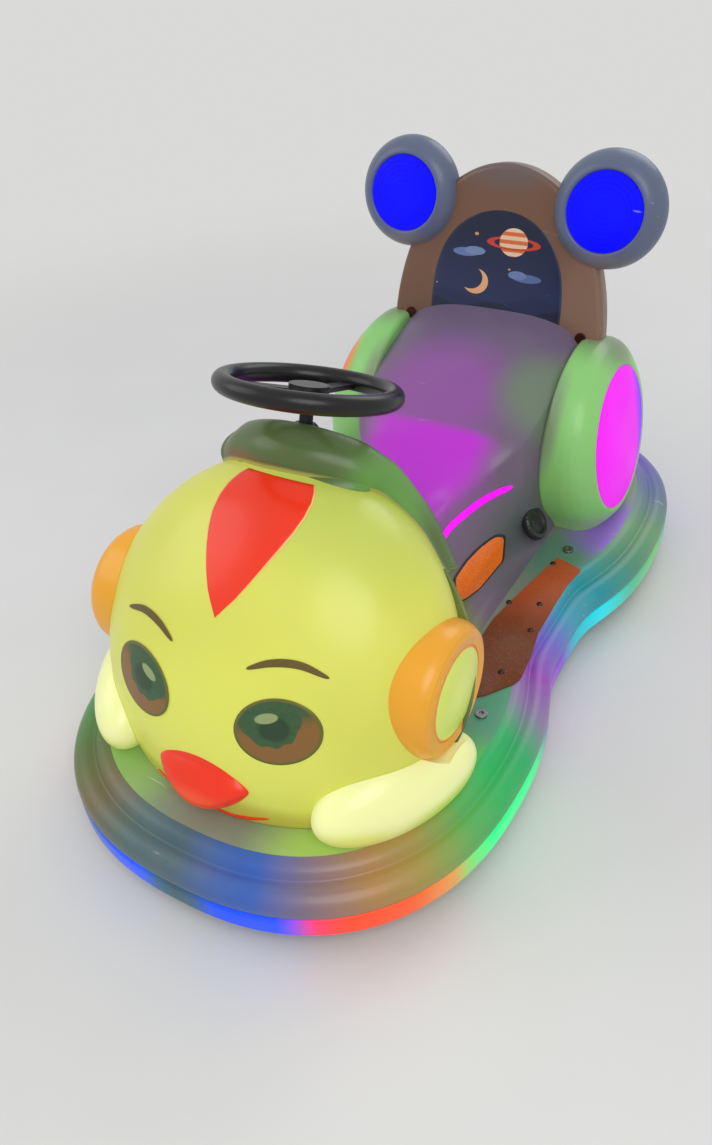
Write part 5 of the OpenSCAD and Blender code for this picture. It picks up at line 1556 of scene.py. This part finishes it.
class CAR_OT_steering_wheel(Operator):
    """Steering wheel: a round grip carried round a circle, spokes with their hub, and the shaft"""
    bl_idname = "car.steering_wheel"
    bl_label = "Steering wheel"

    def execute(self, context):
        st = context.scene.steering_sizes
        a = np.linspace(0, 2 * math.pi, 33)
        g = st.grip_r
        grip = np.stack([st.wheel_r - g + g * np.cos(a), g * np.sin(a)], axis=-1)
        grid = leaned(turned(grip, 128), at(st.at), st.z, st.rake)
        gloss = plastic("wheel_gloss_black", plain(linear(22, 19, 22)), rough=0.32, grain=200.0, dust=0.08,
                        scuff=0.3, coat=0.15, bump=0.08, shine=0.3)
        placed(piece("steering_grip", [(grid,)], [gloss]), "steering_wheel", "grip", "steering_wheel_rim")
        matt = plastic("wheel_satin_black", plain(linear(22, 21, 24)), rough=0.36, grain=400.0, dust=0.12,
                       coat=0.1)
        spokes = copied("steering_spokes", "steering_wheel_spokes", matt)
        placed(bevelled(spokes, 1.6 * MM, 3), "steering_wheel", "spoke", "steering_wheel_spokes")
        shaft = copied("steering_rod", "steering_shaft",
                       steel("shaft_metal", linear(52, 50, 54), 0.4, rust=0.1))
        placed(bevelled(shaft, 0.8 * MM), "steering_wheel", "shaft_steel", "steering_shaft")
        return {"FINISHED"}


class CAR_OT_frame_parts(Operator):
    """Chassis frame, rear axle and battery, as the CAD has them, with rounded edges"""
    bl_idname = "car.frame_parts"
    bl_label = "Chassis, axle and battery"

    def execute(self, context):
        c = context.scene.body_colours
        painted = steel("frame_paint", c.steel, rough=0.42, metallic=0.0, rust=0.7)
        bare = steel("axle_metal", linear(96, 96, 98), rough=0.4, rust=0.5)
        case = plastic("battery_case", plain(linear(40, 41, 48)), rough=0.45, grain=400.0, dust=0.8, coat=0.1)
        placed(bevelled(copied("chassis_tubes", "chassis_frame", painted), 1.0 * MM), "car", "frame_steel",
               "chassis_frame")
        placed(bevelled(copied("rear_axle_beam", "rear_axle", bare), 0.8 * MM), "car", "axle_steel",
               "rear_axle")
        placed(bevelled(copied("battery_case_block", "battery_pack", case), 3 * MM, 3), "car", "battery",
               "battery_pack")
        return {"FINISHED"}


def tyre_rubber(name):
    """Rubber with small blocks across the tread, read from the piece's own map."""
    def paint(tree, where):
        base = plain(linear(30, 30, 31))(tree, where)
        uv = add(tree, "ShaderNodeUVMap", uv_map="surface").outputs["UV"]
        u = add(tree, "ShaderNodeSeparateXYZ", {"Vector": uv}).outputs["X"]
        v = add(tree, "ShaderNodeSeparateXYZ", {"Vector": uv}).outputs["Y"]
        groove_shade = band(tree, calc(tree, "FRACT", calc(tree, "MULTIPLY", u, 40.0)), 0.82, 0.88)
        tread = calc(tree, "MULTIPLY", groove_shade, calc(tree, "MULTIPLY", band(tree, v, 0.30, 0.34),
                                                    band(tree, v, 0.66, 0.70, invert=True)))
        # Painted shade: the grooves between the tread blocks darker, as recesses
        return blend(tree, tread, base, linear(12, 12, 12))
    return plastic(name, paint, rough=0.7, grain=350.0, dust=0.8, scuff=0.5, coat=0.0, bump=0.6, depth=0.001)


def tyre(name, node, body, x, y, size):
    """A tyre that stands on the floor: tread, shoulders, walls and bore carried round the axle."""
    r, w, bore = size
    wall = bore + (r - bore) * 0.35
    rows = [[bore, -w * 0.40], [wall, -w / 2], [r - w * 0.16, -w / 2], [r - w * 0.05, -w * 0.38],
            [r, -w * 0.20], [r, w * 0.20], [r - w * 0.05, w * 0.38], [r - w * 0.16, w / 2], [wall, w / 2],
            [bore, w * 0.40], [bore, -w * 0.40]]
    grid = turned(rows, 84)
    grid = np.stack([x + grid[..., 2], y + grid[..., 1], r + grid[..., 0]], axis=-1)
    uv = np.stack(np.meshgrid(np.linspace(0, 1, 85), np.linspace(0, 1, len(rows))), axis=-1)
    obj = piece(name, [(grid, 0, uv)], [tyre_rubber(name + "_rubber")], sharp=50)
    return placed(obj, body, "tyre", node)


class CAR_OT_front_drive(Operator):
    """Front fork with the driven wheel: hub motor and tyre"""
    bl_idname = "car.front_drive"
    bl_label = "Front drive"

    def execute(self, context):
        fork = copied("front_fork_blades", "front_fork",
                      steel("fork_paint", linear(58, 58, 62), 0.42, 0.3, 0.6))
        placed(bevelled(fork, 1.0 * MM), "fork", "axle_steel", "front_fork")
        alloy = steel("hub_alloy_cast", linear(150, 151, 154), rough=0.38, rust=0.05)
        placed(bevelled(copied("hub_motor_case", "front_hub_motor", alloy), 1.2 * MM, 3, 20), "front_wheel",
               "hub_alloy", "front_hub_motor")
        tyre("front_tyre_rubber", "front_tyre", "front_wheel", 0, at(FRONT_AXLE), FRONT_TYRE)
        return {"FINISHED"}


class CAR_OT_rear_wheels(Operator):
    """Rear wheels with solid tyres"""
    bl_idname = "car.rear_wheels"
    bl_label = "Rear wheels"

    def execute(self, context):
        hub = plastic("rear_hub_plastic", plain(linear(196, 186, 60)), rough=0.4, dust=0.7, coat=0.1)
        for side, name, body in ((1, "left", "rear_wheel_l"), (-1, "right", "rear_wheel_r")):
            placed(bevelled(copied(f"rear_hub_{name}", f"rear_wheel_{name}", hub), 0.8 * MM), body,
                   "rear_hub", f"rear_wheel_{name}")
            tyre(f"rear_tyre_{name}_rubber", f"rear_tyre_{name}", body, side * REAR_TRACK / 2,
                 at(REAR_AXLE), REAR_TYRE)
        return {"FINISHED"}


def seen_rays(tree):
    """1 for the rays that show the stage itself: to the camera, in a reflection or through clear things."""
    path = add(tree, "ShaderNodeLightPath").outputs
    return calc(tree, "MAXIMUM", calc(tree, "MAXIMUM", path["Is Camera Ray"], path["Is Glossy Ray"]),
                path["Is Transmission Ray"])


HAZE = (0.70, 0.70, 0.69, 1.0)


class CAR_OT_stage(Operator):
    """Pale floor, soft light and the camera at the reference's viewing angle"""
    bl_idname = "car.stage"
    bl_label = "Stage"

    def execute(self, context):
        scene = context.scene
        scene.view_settings.view_transform = "Standard"
        made, tree, shader, where = material("floor_paint")
        soft = add(tree, "ShaderNodeTexNoise", {"Vector": where, "Scale": 3.0, "Detail": 3.0})
        tree.links.new(blend(tree, soft.outputs["Fac"], (0.70, 0.70, 0.69), (0.75, 0.75, 0.74)),
                       shader.inputs["Base Color"])
        shader.inputs["Roughness"].default_value = 0.75
        shader.inputs["Specular IOR Level"].default_value = 0.25
        seen = seen_rays(tree)
        away = add(tree, "ShaderNodeVectorMath", {0: where}, operation="LENGTH").outputs["Value"]
        haze = add(tree, "ShaderNodeEmission", {"Color": HAZE, "Strength": 1.0})
        fade = add(tree, "ShaderNodeMixShader", {0: calc(tree, "MULTIPLY", band(tree, away, 1.2, 3.4), seen),
                                                 1: shader.outputs[0], 2: haze.outputs[0]})
        end = next(n for n in tree.nodes if n.type == "OUTPUT_MATERIAL")
        tree.links.new(fade.outputs[0], end.inputs["Surface"])
        side = np.linspace(-60, 60, 9)
        x, y = np.meshgrid(side, side)
        floor = piece("floor", [(np.stack([x, y, np.zeros_like(x)], axis=-1),)], [made], facing=(0, 0, 1))

        world = bpy.data.worlds.new("soft_room")
        scene.world = world
        world.use_nodes = True
        tree = world.node_tree
        tree.nodes.clear()
        seen = seen_rays(tree)
        light = add(tree, "ShaderNodeBackground", {"Color": (0.97, 0.985, 1.0, 1.0), "Strength": 0.56})
        view = add(tree, "ShaderNodeBackground", {"Color": HAZE, "Strength": 1.0})
        mix = add(tree, "ShaderNodeMixShader", {0: seen, 1: light.outputs[0], 2: view.outputs[0]})
        out = tree.nodes.new("ShaderNodeOutputWorld")
        tree.links.new(mix.outputs[0], out.inputs["Surface"])

        for name, place, power, spread in (("key_light", (1.8, -2.4, 3.2), 60.0, 2.6),
                                           ("fill_light", (-2.6, -1.4, 2.4), 24.0, 2.6),
                                           ("back_light", (0.6, 3.0, 2.8), 30.0, 2.4)):
            lamp = bpy.data.lights.new(name, "AREA")
            lamp.shape = "DISK"
            lamp.size = spread
            lamp.energy = power
            obj = bpy.data.objects.new(name, lamp)
            obj.location = place
            obj.rotation_euler = (Vector((0, 0, 0.35)) - Vector(place)).to_track_quat("-Z", "Y").to_euler()
            scene.collection.objects.link(obj)

        yaw, pitch, roll = math.radians(33.512), math.radians(37.534), math.radians(-5.121)
        back = Vector((math.sin(yaw) * math.cos(pitch), -math.cos(yaw) * math.cos(pitch), math.sin(pitch)))
        right = (-back).cross(Vector((0, 0, 1))).normalized()
        up = right.cross(-back)
        r2 = right * math.cos(roll) + up * math.sin(roll)
        u2 = -right * math.sin(roll) + up * math.cos(roll)
        data = bpy.data.cameras.new("view_camera")
        data.sensor_fit = "AUTO"
        data.sensor_width = 36.0
        data.lens = 29.91
        camera = bpy.data.objects.new("view_camera", data)
        turn = Matrix((r2, u2, back)).transposed().to_4x4()
        camera.matrix_world = Matrix.Translation((0.7811, -1.3724, 1.3754)) @ turn
        scene.collection.objects.link(camera)
        scene.camera = camera
        return {"FINISHED"}


OPERATORS = (CAR_OT_stage, CAR_OT_base_shell, CAR_OT_light_band, CAR_OT_deck_fittings, CAR_OT_head_shell,
             CAR_OT_face_films, CAR_OT_beak, CAR_OT_cheek_lamps, CAR_OT_muffs, CAR_OT_cowl,
             CAR_OT_column_boot, CAR_OT_seat, CAR_OT_side_lights, CAR_OT_side_caps, CAR_OT_fenders,
             CAR_OT_backrest, CAR_OT_print_panel, CAR_OT_ears, CAR_OT_steering_wheel, CAR_OT_frame_parts,
             CAR_OT_front_drive, CAR_OT_rear_wheels)
GROUPS = {"bumper_sizes": BumperSizes, "head_sizes": HeadSizes, "seat_sizes": SeatSizes,
          "back_sizes": BackSizes, "steering_sizes": SteeringSizes, "body_colours": BodyColours,
          "face_colours": FaceColours}


class CAR_PT_pieces(Panel):
    """Lists the sizes, the colours and the pieces in the order they are made"""
    bl_idname = "CAR_PT_pieces"
    bl_label = "Bumper car"
    bl_space_type = "VIEW_3D"
    bl_region_type = "UI"
    bl_category = "Bumper car"

    def draw(self, context):
        for name, cls in GROUPS.items():
            box = self.layout.box()
            box.label(text=name.replace("_", " ").capitalize())
            for key in cls.__annotations__:
                box.prop(getattr(context.scene, name), key)
        for operator in OPERATORS:
            self.layout.operator(operator.bl_idname)


def register():
    for cls in (*GROUPS.values(), *OPERATORS, CAR_PT_pieces):
        bpy.utils.register_class(cls)
    for name, cls in GROUPS.items():
        setattr(bpy.types.Scene, name, PointerProperty(type=cls))


def unregister():
    for name in GROUPS:
        delattr(bpy.types.Scene, name)
    for cls in reversed((*GROUPS.values(), *OPERATORS, CAR_PT_pieces)):
        bpy.utils.unregister_class(cls)


def main():
    register()
    for operator in OPERATORS:
        space, name = operator.bl_idname.split(".")
        getattr(getattr(bpy.ops, space), name)()


if __name__ == "__main__":
    main()
